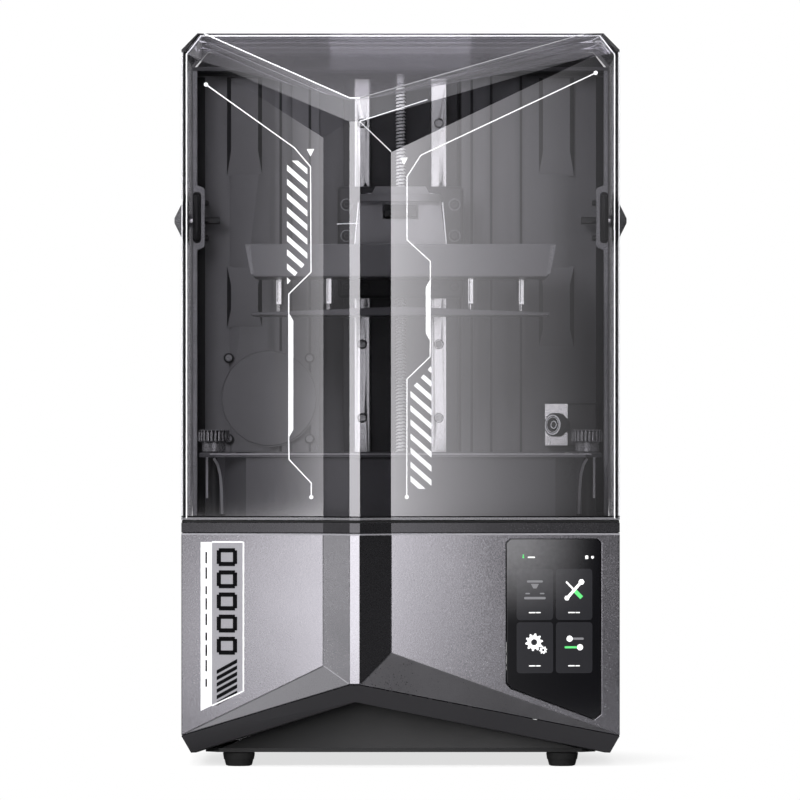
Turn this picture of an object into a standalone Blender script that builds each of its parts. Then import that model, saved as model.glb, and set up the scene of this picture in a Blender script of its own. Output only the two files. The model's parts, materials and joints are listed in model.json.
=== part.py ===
"""Resin printer with a folded gunmetal base, a flip-up smoky lid and a tilting resin tank.

Metres, +Z up. The origin is on the ground at the centre of the footprint: +X is the viewer's right when
facing the printer, the front looks along -Y. Sizes below are in millimetres times MM.
"""

from math import cos, pi, radians, sin

import bmesh
import bpy
from mathutils import Matrix, Vector

MM = 0.001
GAP = 0.3 * MM

# Outer envelope
HALF_WIDTH = 163.5 * MM
HALF_SPAN = 173 * MM
FRONT_Y = -164.5 * MM
BACK_Y = 164.5 * MM
TOP_Z = 548.5 * MM
CORNER_Y = -136 * MM
FOLD_Y = -150 * MM
FOLD_LEFT_X = -57.4 * MM
RIDGE_LEFT_X = -37.9 * MM
RIDGE_RIGHT_X = -30.1 * MM
FOLD_RIGHT_X = -7.1 * MM
REAR_CHAMFER = 10 * MM

# Base
FOOT_HEIGHT = 10.1 * MM
PAN_BOTTOM_Z = 10.4 * MM
SKIRT_BOTTOM_Z = 11.9 * MM
SKIRT_TOP_Z = 23.8 * MM
RIDGE_FOOT_Z = 62.6 * MM
BASE_TOP_Z = 174.7 * MM
DECK_BOTTOM_Z = 175.0 * MM
DECK_TOP_Z = 182.4 * MM
SHELL_WALL = 2.5 * MM
FOOT_X = 121 * MM
FOOT_YS = (-112 * MM, 137 * MM)
BASE_FAN_X = 95 * MM
BASE_FAN_Z = 95 * MM

# Exposure screen and tank
WORK_Y = -35 * MM
SCREEN_HALF = (114 * MM, 67 * MM)
SCREEN_TOP_Z = 183.0 * MM
FILM_Z = 184.6 * MM
TANK_TOP_Z = 234 * MM
TANK_HALF = (132 * MM, 70.5 * MM)
TANK_FLANGE_X = 151 * MM
KNOB_X = 141.6 * MM
TILT_AXIS_Y = 43 * MM
TILT_AXIS_Z = 181 * MM
LIFTER_Y = -114 * MM

# Tower
TOWER_HALF = 160 * MM
TOWER_FRONT_Y = 50 * MM
TOWER_TOP_Z = 530 * MM
SHOULDER_Y = 80 * MM
WALL_Y = 72 * MM
TOWER_WALL = 3 * MM
CHAMBER_FAN_X = -98 * MM
CHAMBER_FAN_Z = 275 * MM
RAIL_X = 29.5 * MM
RAIL_WIDTH = 12.8 * MM
RAIL_TOP_Z = 522 * MM
SCREW_Y = 56 * MM
SCREW_RADIUS = 4 * MM
SCREW_TOP_Z = 525 * MM

# Lid
LID_HINGE_Y = 60 * MM
LID_HINGE_Z = 412 * MM
LID_BOTTOM_Z = 184.5 * MM
LID_WALL = 2.6 * MM
LID_BACK_Y = 150 * MM

# Platform, at its rest height
PLATE_BOTTOM_Z = 337.4 * MM
PLATE_HALF = (112 * MM, 61 * MM)
TRAY_BOTTOM_Z = 366 * MM
TRAY_TOP_Z = 391 * MM
ARM_TOP_Z = 421 * MM
POST_XS = (-92.5 * MM, -54 * MM, 53 * MM, 92 * MM)

X_AXIS = Vector((1, 0, 0))
Y_AXIS = Vector((0, 1, 0))
Z_AXIS = Vector((0, 0, 1))


# ---------------------------------------------------------------- materials

def material(name, colour, roughness, metallic=0.0, alpha=1.0):
    mat = bpy.data.materials.new(name)
    mat.use_nodes = True
    shader = mat.node_tree.nodes["Principled BSDF"]
    shader.inputs["Base Color"].default_value = (*colour, 1)
    shader.inputs["Roughness"].default_value = roughness
    shader.inputs["Metallic"].default_value = metallic
    shader.inputs["Alpha"].default_value = alpha
    mat.diffuse_color = (*colour, alpha)
    return mat


def make_materials():
    return {
        "gunmetal": material("gunmetal_paint", (0.30, 0.29, 0.31), 0.42, 0.7),
        "dark_plastic": material("dark_plastic", (0.075, 0.072, 0.08), 0.5),
        "wall_plastic": material("wall_plastic", (0.10, 0.10, 0.108), 0.55),
        "black_plastic": material("black_plastic", (0.02, 0.02, 0.022), 0.4),
        "rubber": material("rubber", (0.015, 0.015, 0.015), 0.85),
        "smoke": material("smoky_acrylic", (0.16, 0.155, 0.17), 0.08, 0.0, 0.45),
        "glass": material("black_glass", (0.01, 0.01, 0.012), 0.05),
        "steel": material("bright_steel", (0.72, 0.71, 0.73), 0.25, 1.0),
        "chrome": material("chrome", (0.85, 0.85, 0.87), 0.08, 1.0),
        "aluminium": material("aluminium", (0.45, 0.45, 0.47), 0.38, 1.0),
        "dark_metal": material("dark_metal", (0.09, 0.09, 0.10), 0.4, 0.8),
        "board": material("circuit_board", (0.02, 0.09, 0.05), 0.5),
        "film": material("release_film", (0.55, 0.58, 0.62), 0.12, 0.0, 0.5),
        "brass": material("brass", (0.66, 0.47, 0.20), 0.3, 1.0),
    }


# ---------------------------------------------------------------- mesh helpers

def link(name, mesh, mat=None):
    obj = bpy.data.objects.new(name, mesh)
    bpy.context.scene.collection.objects.link(obj)
    if mat is not None:
        mesh.materials.append(mat)
    return obj


def object_from(name, bm, mat=None, origin=(0, 0, 0), smooth=False):
    """Close the bmesh into an object whose origin is at the given point."""
    bmesh.ops.remove_doubles(bm, verts=bm.verts, dist=1e-6)
    bmesh.ops.recalc_face_normals(bm, faces=bm.faces)
    bmesh.ops.translate(bm, verts=bm.verts, vec=-Vector(origin))
    mesh = bpy.data.meshes.new(name)
    bm.to_mesh(mesh)
    bm.free()
    if smooth:
        mesh.shade_smooth()
        mesh.set_sharp_from_angle(angle=radians(35))
    obj = link(name, mesh, mat)
    obj.location = origin
    return obj


def extrude_outline(points, vector):
    """A bmesh prism: the closed outline swept along the vector."""
    bm = bmesh.new()
    face = bm.faces.new([bm.verts.new(p) for p in points])
    swept = bmesh.ops.extrude_face_region(bm, geom=[face])
    moved = [g for g in swept["geom"] if isinstance(g, bmesh.types.BMVert)]
    bmesh.ops.translate(bm, verts=moved, vec=vector)
    return bm


def prism_z(name, outline, bottom, top, mat=None):
    points = [(x, y, bottom) for x, y in outline]
    return object_from(name, extrude_outline(points, (0, 0, top - bottom)), mat)


def prism_x(name, outline, left, right, mat=None):
    points = [(left, y, z) for y, z in outline]
    return object_from(name, extrude_outline(points, (right - left, 0, 0)), mat)


def prism_y(name, outline, front, back, mat=None):
    points = [(x, front, z) for x, z in outline]
    return object_from(name, extrude_outline(points, (0, back - front, 0)), mat)


def box(name, low, high, mat=None, bevel=0.0):
    low, high = Vector(low), Vector(high)
    bm = bmesh.new()
    bmesh.ops.create_cube(bm, size=1)
    bmesh.ops.scale(bm, verts=bm.verts, vec=high - low)
    bmesh.ops.translate(bm, verts=bm.verts, vec=(low + high) / 2)
    obj = object_from(name, bm, mat, (low + high) / 2)
    if bevel:
        add_bevel(obj, bevel)
    return obj


def add_bevel(obj, width, segments=1):
    bevel = obj.modifiers.new("edges", "BEVEL")
    bevel.width = width
    bevel.segments = segments
    bevel.limit_method = "ANGLE"
    bevel.angle_limit = radians(40)


def turned(name, profile, start, axis, mat=None, segments=24):
    """A solid of revolution: (distance along the axis, radius) pairs from the start point."""
    bm = bmesh.new()
    axis = Vector(axis).normalized()
    side = axis.orthogonal().normalized()
    rings = []
    for along, radius in profile:
        centre = Vector(start) + axis * along
        ring = []
        for i in range(segments):
            spoke = Matrix.Rotation(2 * pi * i / segments, 4, axis) @ side
            ring.append(bm.verts.new(centre + spoke * radius))
        rings.append(ring)
    for lower, upper in zip(rings, rings[1:]):
        for i in range(segments):
            j = (i + 1) % segments
            bm.faces.new((lower[i], lower[j], upper[j], upper[i]))
    bm.faces.new(rings[0][::-1])
    bm.faces.new(rings[-1])
    return object_from(name, bm, mat, start, smooth=True)


def rod(name, start, axis, length, radius, mat=None, segments=24):
    return turned(name, [(0, radius), (length, radius)], start, axis, mat, segments)


def hide_tool(tool):
    tool.hide_render = True
    tool.display_type = "WIRE"


def boolean(obj, tool, operation):
    hide_tool(tool)
    modifier = obj.modifiers.new(tool.name, "BOOLEAN")
    modifier.operation = operation
    modifier.solver = "EXACT"
    modifier.object = tool


def cut(obj, *tools):
    for tool in tools:
        boolean(obj, tool, "DIFFERENCE")


def join(obj, *tools):
    for tool in tools:
        boolean(obj, tool, "UNION")


def mirrored_pair(build):
    """Build a left and a right piece from one function of (side name, sign)."""
    return [build(side, sign) for side, sign in (("left", -1), ("right", 1))]


# ---------------------------------------------------------------- shared outlines

def front_fold(inset=0.0):
    """The plan of the folded front, left to right, moved inwards by an inset."""
    return [
        (-HALF_WIDTH + inset, CORNER_Y + inset),
        (FOLD_LEFT_X, FOLD_Y + inset),
        (RIDGE_LEFT_X + 0.4 * inset, FRONT_Y + inset),
        (RIDGE_RIGHT_X - 0.4 * inset, FRONT_Y + inset),
        (FOLD_RIGHT_X, FOLD_Y + inset),
        (HALF_WIDTH - inset, CORNER_Y + inset),
    ]


def body_plan(inset=0.0):
    """The full plan outline of the base: folded front, straight sides, chamfered rear corners."""
    side = HALF_WIDTH - inset
    back = BACK_Y - inset
    return front_fold(inset) + [
        (side, back - REAR_CHAMFER),
        (side - REAR_CHAMFER, back),
        (-side + REAR_CHAMFER, back),
        (-side, back - REAR_CHAMFER),
    ]


def rectangle(half_x, half_y, centre_x=0.0, centre_y=0.0, corner=0.0):
    """A rectangle with chamfered corners, counter-clockwise."""
    points = []
    for sx, sy in ((-1, -1), (1, -1), (1, 1), (-1, 1)):
        along = (sx * (half_x - corner), sy * half_y)
        across = (sx * half_x, sy * (half_y - corner))
        pair = (across, along) if sx * sy > 0 else (along, across)
        points += pair if corner else [(sx * half_x, sy * half_y)]
    return [(centre_x + x, centre_y + y) for x, y in points]


def face_direction():
    """Direction of the right main face in plan, pointing right."""
    return Vector((HALF_WIDTH - FOLD_RIGHT_X, CORNER_Y - FOLD_Y, 0)).normalized()


def plate_on_face(name, outline, corner, direction, outer, inner, mat=None):
    """A flat plate on a front face. The outline is (x, z); outer and inner are depths into the face."""
    inward = Vector((-direction.y, direction.x, 0))
    points = []
    for x, z in outline:
        point = Vector((corner[0], corner[1], 0)) + direction * ((x - corner[0]) / direction.x)
        points.append(point + inward * outer + Z_AXIS * z)
    return object_from(name, extrude_outline(points, inward * (inner - outer)), mat)


# ---------------------------------------------------------------- base

def base_surface():
    """The outer skin of the base, open at the top and the bottom."""
    bm = bmesh.new()
    top = [bm.verts.new((x, y, BASE_TOP_Z)) for x, y in body_plan()]
    plan = body_plan()
    feet_z = {2: RIDGE_FOOT_Z, 3: RIDGE_FOOT_Z}
    low = [bm.verts.new((x, y, feet_z.get(i, SKIRT_TOP_Z))) for i, (x, y) in enumerate(plan)]
    left_fold = bm.verts.new((FOLD_LEFT_X, FOLD_Y, 75.9 * MM))
    right_fold = bm.verts.new((FOLD_RIGHT_X, FOLD_Y, 85.8 * MM))
    bmesh.ops.delete(bm, geom=[low[1], low[4]], context="VERTS")
    bm.faces.new((top[0], low[0], left_fold, top[1]))
    bm.faces.new((top[1], left_fold, low[2], top[2]))
    bm.faces.new((top[2], low[2], low[3], top[3]))
    bm.faces.new((top[3], low[3], right_fold, top[4]))
    bm.faces.new((top[4], right_fold, low[5], top[5]))
    bm.faces.new((low[0], low[2], left_fold))
    bm.faces.new((low[3], low[5], right_fold))
    for i, j in ((5, 6), (6, 7), (7, 8), (8, 9), (9, 0)):
        bm.faces.new((top[i], low[i], low[j], top[j]))
    return bm


def thicken(obj, wall):
    solid = obj.modifiers.new("wall", "SOLIDIFY")
    solid.thickness = wall
    solid.offset = -1
    solid.use_even_offset = True
    solid.use_rim = True


def base_shell(mats):
    shell = object_from("base_shell", base_surface(), mats["gunmetal"])
    thicken(shell, SHELL_WALL)
    screen_hole = plate_on_face("screen_opening", screen_outline(0.4 * MM), (FOLD_RIGHT_X, FOLD_Y),
                                face_direction(), -3 * MM, 7 * MM)
    usb_hole = box("usb_opening", (HALF_WIDTH - 8 * MM, -92 * MM, 70 * MM),
                   (HALF_WIDTH + 5 * MM, -72 * MM, 78 * MM))
    switch_hole = box("switch_opening", (-122.4 * MM, BACK_Y - 8 * MM, 39.6 * MM),
                      (-93.6 * MM, BACK_Y + 5 * MM, 60.4 * MM))
    inlet_hole = box("inlet_opening", (-86.4 * MM, BACK_Y - 8 * MM, 35.6 * MM),
                     (-53.6 * MM, BACK_Y + 5 * MM, 64.4 * MM))
    fan_hole = rod("fan_opening", (BASE_FAN_X, BACK_Y + 5 * MM, BASE_FAN_Z), -Y_AXIS, 15 * MM, 36 * MM)
    cut(shell, screen_hole, usb_hole, switch_hole, inlet_hole, fan_hole)
    return shell


def skirt_ring(bm, inset, drop):
    """One closed loop of the skirt: the shell's lower edge moved inwards and downwards."""
    plan = body_plan(inset)
    heights = {2: RIDGE_FOOT_Z, 3: RIDGE_FOOT_Z}
    ring = []
    for i, (x, y) in enumerate(plan):
        if i not in (1, 4):
            ring.append(bm.verts.new((x, y, heights.get(i, SKIRT_TOP_Z) - drop)))
    return ring


def base_skirt(mats):
    """The dark band under the shell, sloping inwards, with a peak under the ridge."""
    bm = bmesh.new()
    height = SKIRT_TOP_Z - SKIRT_BOTTOM_Z
    rings = [
        skirt_ring(bm, 0, 2 * GAP),
        skirt_ring(bm, 7 * MM, height + 1.5 * MM),
        skirt_ring(bm, 11 * MM, height + 1.5 * MM),
        skirt_ring(bm, 5 * MM, 2 * MM),
    ]
    for lower, upper in zip(rings, rings[1:] + rings[:1]):
        for i in range(len(lower)):
            j = (i + 1) % len(lower)
            bm.faces.new((lower[i], lower[j], upper[j], upper[i]))
    return object_from("base_skirt", bm, mats["dark_plastic"])


def bottom_pan(mats):
    """Flat pan under the printer, with a peaked front apron behind the skirt."""
    pan = prism_z("bottom_pan", rectangle(146 * MM, 131 * MM, 0, 13 * MM, 10 * MM),
                  PAN_BOTTOM_Z, PAN_BOTTOM_Z + 3 * MM, mats["black_plastic"])
    apron = prism_y("pan_apron", [(-140 * MM, 11 * MM), (140 * MM, 11 * MM), (60 * MM, 34 * MM),
                                  (-34 * MM, 55 * MM), (-70 * MM, 40 * MM)], -117.5 * MM, -114.5 * MM)
    join(pan, apron)
    return pan


def feet(mats):
    for row, y in zip(("front", "rear"), FOOT_YS):
        for side, x in (("left", -FOOT_X), ("right", FOOT_X)):
            turned(f"foot_{row}_{side}", [(0, 10 * MM), (FOOT_HEIGHT, 12.2 * MM)], (x, y, 0), Z_AXIS,
                   mats["rubber"], 20)


def top_deck(mats):
    """The deck plate: a raised rim all round, a pocket for the tank and a window over the light."""
    deck = prism_z("top_deck", body_plan(), DECK_BOTTOM_Z, DECK_TOP_Z, mats["dark_plastic"])
    pocket = box("deck_pocket", (-155 * MM, -126 * MM, 178.4 * MM), (155 * MM, 66 * MM, 190 * MM))
    half_x, half_y = SCREEN_HALF
    window = box("deck_window", (-half_x + 6 * MM, WORK_Y - half_y + 6 * MM, 170 * MM),
                 (half_x - 6 * MM, WORK_Y + half_y - 6 * MM, 190 * MM))
    screw_hole = rod("deck_screw_hole", (0, SCREW_Y, 170 * MM), Z_AXIS, 20 * MM, 11 * MM)
    cable_hole = box("deck_cable_hole", (60 * MM, 100 * MM, 170 * MM), (120 * MM, 130 * MM, 190 * MM))
    lifter_hole = rod("deck_lifter_hole", (0, LIFTER_Y, 170 * MM), Z_AXIS, 20 * MM, 4.6 * MM, segments=16)
    cut(deck, pocket, window, screw_hole, cable_hole, lifter_hole)
    return deck


def screen_outline(grow=0.0):
    """The touch screen's outline as (x, z): upright sides, a top edge and a slanted foot."""
    left, right = 79.2 * MM - grow, 149.2 * MM + grow
    return [
        (left, 63 * MM - grow),
        (left + 4 * MM, 59 * MM - grow),
        (right - 5 * MM, 36 * MM - grow),
        (right, 40 * MM - grow),
        (right, 167 * MM + grow),
        (right - 3 * MM, 170 * MM + grow),
        (left + 3 * MM, 170 * MM + grow),
        (left, 167 * MM + grow),
    ]


def touch_screen(mats):
    return plate_on_face("touch_screen", screen_outline(), (FOLD_RIGHT_X, FOLD_Y), face_direction(),
                         -0.4 * MM, 3.5 * MM, mats["glass"])


# ---------------------------------------------------------------- inside the base

def light_engine(mats):
    """The exposure light, bottom up: heat sink, lamp board, shroud, lens and screen."""
    sink = box("light_heatsink", (-55 * MM, WORK_Y - 45 * MM, 62 * MM),
               (55 * MM, WORK_Y + 45 * MM, 68 * MM), mats["aluminium"])
    for i in range(8):
        x = (-52.5 + 15 * i) * MM
        join(sink, box(f"sink_fin_{i}", (x - 1.2 * MM, WORK_Y - 45 * MM, 40 * MM),
                       (x + 1.2 * MM, WORK_Y + 45 * MM, 64 * MM)))
    board = box("lamp_board", (-50 * MM, WORK_Y - 38 * MM, 68.3 * MM),
                (50 * MM, WORK_Y + 38 * MM, 70.3 * MM), mats["board"])
    for i in range(4):
        for j in range(3):
            spot = ((-33 + 22 * i) * MM, WORK_Y + (-22 + 22 * j) * MM, 69 * MM)
            join(board, turned(f"lamp_{i}_{j}", [(0, 5 * MM), (4 * MM, 5 * MM), (6 * MM, 3 * MM)], spot,
                               Z_AXIS, segments=10))
    shroud = object_from("light_shroud", shroud_surface(), mats["black_plastic"])
    lens = box("field_lens", (-106 * MM, WORK_Y - 58 * MM, 166 * MM),
               (106 * MM, WORK_Y + 58 * MM, 168 * MM), mats["film"])
    half_x, half_y = SCREEN_HALF
    screen = box("exposure_screen", (-half_x, WORK_Y - half_y, 178.7 * MM),
                 (half_x, WORK_Y + half_y, SCREEN_TOP_Z), mats["glass"], 0.6 * MM)
    return sink, board, shroud, lens, screen


def shroud_surface():
    """A hollow tapered box, open at both ends, wide at the top."""
    bm = bmesh.new()
    rings = []
    for half_x, half_y, z in ((56, 44, 74), (113, 65, 165), (113, 65, 174.6), (111, 63, 174.6),
                              (111, 63, 165.5), (54, 42, 74)):
        corners = rectangle(half_x * MM, half_y * MM, 0, WORK_Y)
        rings.append([bm.verts.new((x, y, z * MM)) for x, y in corners])
    for lower, upper in zip(rings, rings[1:] + rings[:1]):
        for i in range(4):
            j = (i + 1) % 4
            bm.faces.new((lower[i], lower[j], upper[j], upper[i]))
    return bm


def electronics(mats):
    board = box("main_board", (-70 * MM, 78 * MM, 16 * MM), (60 * MM, 148 * MM, 17.6 * MM), mats["board"])
    blocks = (
        ("chip", (-30, 100, 17), (-5, 125, 20.5)),
        ("drivers", (10, 90, 17), (50, 102, 24)),
        ("sockets", (-68, 132, 17), (50, 144, 27)),
    )
    for name, low, high in blocks:
        join(board, box(f"board_{name}", [v * MM for v in low], [v * MM for v in high]))
    supply = box("power_supply", (-150 * MM, -60 * MM, 16 * MM), (-85 * MM, 90 * MM, 56 * MM),
                 mats["aluminium"], 1 * MM)
    usb = box("usb_port", (HALF_WIDTH - 22 * MM, -91.5 * MM, 70.5 * MM),
              (HALF_WIDTH, -72.5 * MM, 77.5 * MM), mats["steel"])
    cut(usb, box("usb_slot", (HALF_WIDTH - 12 * MM, -90 * MM, 72 * MM),
                 (HALF_WIDTH + 5 * MM, -74 * MM, 76 * MM)))
    inlet = box("power_inlet", (-86 * MM, BACK_Y - 22 * MM, 36 * MM), (-54 * MM, BACK_Y, 64 * MM),
                mats["black_plastic"])
    cut(inlet, box("inlet_socket", (-82 * MM, BACK_Y - 16 * MM, 40 * MM),
                   (-58 * MM, BACK_Y + 5 * MM, 60 * MM)))
    for i, (x, z) in enumerate(((-75, 47), (-65, 47), (-70, 54))):
        join(inlet, box(f"inlet_pin_{i}", ((x - 1.5) * MM, BACK_Y - 18 * MM, (z - 1) * MM),
                        ((x + 1.5) * MM, BACK_Y - 4 * MM, (z + 1) * MM)))
    return board, supply, usb, inlet


def power_switch(mats):
    """A rocker in its frame: the rocker pivots about a level axis across the opening."""
    frame = box("switch_frame", (-122 * MM, BACK_Y - 16 * MM, 40 * MM), (-94 * MM, BACK_Y, 60 * MM),
                mats["black_plastic"])
    cut(frame, box("switch_well", (-119 * MM, BACK_Y - 13 * MM, 42.5 * MM),
                   (-97 * MM, BACK_Y + 5 * MM, 57.5 * MM)))
    profile = [(-4 * MM, -6 * MM), (-4 * MM, 6 * MM), (4 * MM, 5.8 * MM), (2.6 * MM, 0),
               (2.6 * MM, -5.8 * MM)]
    centre = (-108 * MM, BACK_Y - 5 * MM, 50 * MM)
    points = [(centre[0] - 10.4 * MM, centre[1] + y, centre[2] + z) for y, z in profile]
    rocker = object_from("power_rocker", extrude_outline(points, (20.8 * MM, 0, 0)), mats["rubber"], centre)
    return frame, rocker


def fan(name, centre, radius, depth, blades, mats):
    """A square fan that blows along Y: a frame with struts and a hub, and a rotor of pitched blades."""
    x, y, z = centre
    reach = radius + 3 * MM
    front = y - depth / 2
    frame = box(f"{name}_frame", (x - reach, front, z - reach), (x + reach, y + depth / 2, z + reach),
                mats["black_plastic"])
    cut(frame, rod(f"{name}_bore", (x, front - depth, z), Y_AXIS, 3 * depth, radius, segments=32))
    strut = radius + 1 * MM
    for i, (half_x, half_z) in enumerate(((strut, 2 * MM), (2 * MM, strut))):
        join(frame, box(f"{name}_strut_{i}", (x - half_x, front, z - half_z),
                        (x + half_x, front + 2 * MM, z + half_z)))
    hub = 0.36 * radius
    rotor = rod(f"{name}_rotor", (x, front + 2.6 * MM, z), Y_AXIS, depth - 4 * MM, hub,
                mats["black_plastic"], 20)
    length = radius - 1.6 * MM - 0.8 * hub
    for i in range(blades):
        blade = box(f"{name}_blade_{i}", (-length / 2, -0.36 * depth, -0.8 * MM),
                    (length / 2, 0.36 * depth, 0.8 * MM))
        pitch = Matrix.Rotation(radians(35), 4, "X")
        outwards = Matrix.Translation((0.8 * hub + length / 2, 0, 0))
        turn = Matrix.Rotation(2 * pi * i / blades, 4, "Y")
        blade.matrix_world = Matrix.Translation((x, y + 0.3 * MM, z)) @ turn @ outwards @ pitch
        join(rotor, blade)
    return frame, rotor


def z_drive(mats):
    """Motor below the deck, and one turning piece: coupling, shaft and leadscrew."""
    motor = box("z_motor", (-21 * MM, SCREW_Y - 21 * MM, 104 * MM), (21 * MM, SCREW_Y + 21 * MM, 152 * MM),
                mats["dark_metal"], 3 * MM)
    profile = [(0, 2.5 * MM), (5 * MM, 2.5 * MM), (5 * MM, 9.5 * MM), (28 * MM, 9.5 * MM),
               (28 * MM, SCREW_RADIUS), (365 * MM, SCREW_RADIUS), (366 * MM, 3 * MM), (372 * MM, 3 * MM)]
    screw = turned("leadscrew", profile, (0, SCREW_Y, SCREW_TOP_Z - 372 * MM), Z_AXIS, mats["steel"], 20)
    return motor, screw


# ---------------------------------------------------------------- tower

def tower_profile(inset=0.0, front=TOWER_FRONT_Y):
    """Side view of the tower as (y, z): upright back, sloped shoulder and flat top."""
    return [
        (front, 182.7 * MM + inset),
        (BACK_Y - inset, 182.7 * MM + inset),
        (BACK_Y - inset, 470 * MM - 0.4 * inset),
        (SHOULDER_Y - 0.4 * inset, TOWER_TOP_Z - inset),
        (front, TOWER_TOP_Z - inset),
    ]


def tower_housing(mats):
    """The rear column: side walls that reach forward to the lid hinges, a back, a roof and a floor."""
    housing = prism_x("tower_housing", tower_profile(), -TOWER_HALF, TOWER_HALF, mats["dark_plastic"])
    inner = TOWER_HALF - TOWER_WALL
    hollow = prism_x("tower_hollow", tower_profile(TOWER_WALL, TOWER_FRONT_Y - 10 * MM), -inner, inner)
    floor_slot = box("tower_floor_slot", (-152 * MM, TOWER_FRONT_Y - 5 * MM, 175 * MM),
                     (152 * MM, 135 * MM, 190 * MM))
    cut(housing, hollow, floor_slot)
    for i in range(9):
        z = (250 + 14 * i) * MM
        cut(housing, box(f"tower_vent_{i}", (60 * MM, BACK_Y - 8 * MM, z),
                         (120 * MM, BACK_Y + 5 * MM, z + 6 * MM)))
    for side, sign in (("left", -1), ("right", 1)):
        cut(housing, prism_x(f"bracket_seat_{side}", slot_outline(9 * MM, 10 * MM), sign * 150 * MM,
                             sign * 170 * MM))
    return housing


def ribbed_plan():
    """Plan of the tower's inner wall: upright ribs standing forward of a flat sheet."""
    edge = TOWER_HALF - TOWER_WALL - GAP
    points = [(-edge, WALL_Y)]
    for centre, half in ((-115, 15), (-88.5, 3), (-66, 3), (50.5, 3.5), (66, 3), (89, 3), (115, 15)):
        slope = 2 * MM
        lift = 2.4 * MM
        points += [
            ((centre - half) * MM - slope, WALL_Y),
            ((centre - half) * MM, WALL_Y - lift),
            ((centre + half) * MM, WALL_Y - lift),
            ((centre + half) * MM + slope, WALL_Y),
        ]
    return points + [(edge, WALL_Y), (edge, WALL_Y + 2.5 * MM), (-edge, WALL_Y + 2.5 * MM)]


def inner_wall(mats):
    wall = prism_z("inner_wall", ribbed_plan(), 186 * MM, 524 * MM, mats["wall_plastic"])
    bore = rod("chamber_fan_hole", (CHAMBER_FAN_X, 60 * MM, CHAMBER_FAN_Z), Y_AXIS, 25 * MM, 33 * MM,
               segments=32)
    cut(wall, bore)
    return wall


def rails(mats):
    spine = box("rail_spine", (-44 * MM, 66 * MM, 186 * MM), (44 * MM, WALL_Y - GAP, 520 * MM),
                mats["dark_metal"])

    def rail(side, sign):
        x = sign * RAIL_X
        low = (x - RAIL_WIDTH / 2, 58 * MM, 188 * MM)
        high = (x + RAIL_WIDTH / 2, 66 * MM - GAP, RAIL_TOP_Z)
        piece = box(f"rail_{side}", low, high, mats["steel"], 0.8 * MM)
        for i in range(5):
            z = (260 + 56.75 * i) * MM
            cut(piece, rod(f"rail_{side}_bolt_{i}", (x, 50 * MM, z), Y_AXIS, 11 * MM, 3 * MM, segments=12))
        return piece

    return spine, mirrored_pair(rail)


def slot_outline(radius, half_length):
    """A rounded upright slot round the lid's hinge axis, as (y, z)."""
    points = []
    for i in range(16):
        angle = pi * (i + 0.5) / 8
        lift = half_length if sin(angle) > 0 else -half_length
        points.append((LID_HINGE_Y + radius * cos(angle), LID_HINGE_Z + lift + radius * sin(angle)))
    return points


def hinge_parts(mats):
    """A slot-shaped bracket seated in each side wall of the tower, and a pin, on the lid's axis."""
    def bracket(side, sign):
        plate = prism_x(f"hinge_bracket_{side}", slot_outline(8.6 * MM, 10 * MM), sign * 152 * MM,
                        sign * (TOWER_HALF - GAP), mats["black_plastic"])
        join(plate, rod(f"hinge_stub_{side}", (sign * 139 * MM, LID_HINGE_Y, LID_HINGE_Z), sign * X_AXIS,
                        16 * MM, 3 * MM, segments=12))
        cut(plate, rod(f"hinge_socket_{side}", (sign * 155.5 * MM, LID_HINGE_Y, LID_HINGE_Z), sign * X_AXIS,
                       15 * MM, 5.4 * MM))
        return plate

    def pin(side, sign):
        return rod(f"hinge_pin_{side}", (sign * 156 * MM, LID_HINGE_Y, LID_HINGE_Z), sign * X_AXIS,
                   12 * MM, 5 * MM, mats["steel"])

    return mirrored_pair(bracket), mirrored_pair(pin)


def chamber_camera(mats):
    """A camera block at the right of the chamber, with a lens that looks at the platform."""
    body = box("camera_body", (110.5 * MM, 52 * MM, 238 * MM), (152 * MM, 69 * MM, 271.5 * MM),
               mats["black_plastic"], 1.5 * MM)
    look = Vector((-0.66, -0.75, 0.03)).normalized()
    lens = turned("camera_lens", [(0, 9 * MM), (6.5 * MM, 9 * MM), (8 * MM, 8.2 * MM)],
                  (121.8 * MM, 45.4 * MM, 254.6 * MM), look, mats["black_plastic"], 24)
    return body, lens


# ---------------------------------------------------------------- lid

def lid_front_points():
    """Corner points of the lid's gem-cut front, named for the facets they join."""
    hinge_side = 12 * MM
    return {
        "low": [(x, y, LID_BOTTOM_Z) for x, y in front_fold()],
        "left_corner": (-HALF_WIDTH, CORNER_Y, 535 * MM),
        "right_corner": (HALF_WIDTH, CORNER_Y, 535 * MM),
        "left_inner": (-149 * MM, CORNER_Y - 1.9 * MM, 528 * MM),
        "right_inner": (147 * MM, CORNER_Y - 1.35 * MM, 532 * MM),
        "left_fold": (FOLD_LEFT_X, FOLD_Y, 469 * MM),
        "right_fold": (FOLD_RIGHT_X, FOLD_Y, 458 * MM),
        "ridge_left": (RIDGE_LEFT_X, FRONT_Y, 480.5 * MM),
        "ridge_right": (RIDGE_RIGHT_X, FRONT_Y, 480.5 * MM),
        "brow_left": (RIDGE_LEFT_X, FRONT_Y + hinge_side, 498.5 * MM),
        "brow_right": (RIDGE_RIGHT_X, FRONT_Y + hinge_side, 498.5 * MM),
        "roof_left": (-148 * MM, -108 * MM, TOP_Z),
        "roof_right": (140 * MM, -108 * MM, TOP_Z),
        "eave_left": (-152 * MM, -112 * MM, TOP_Z),
        "eave_right": (152 * MM, -112 * MM, TOP_Z),
    }


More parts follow.
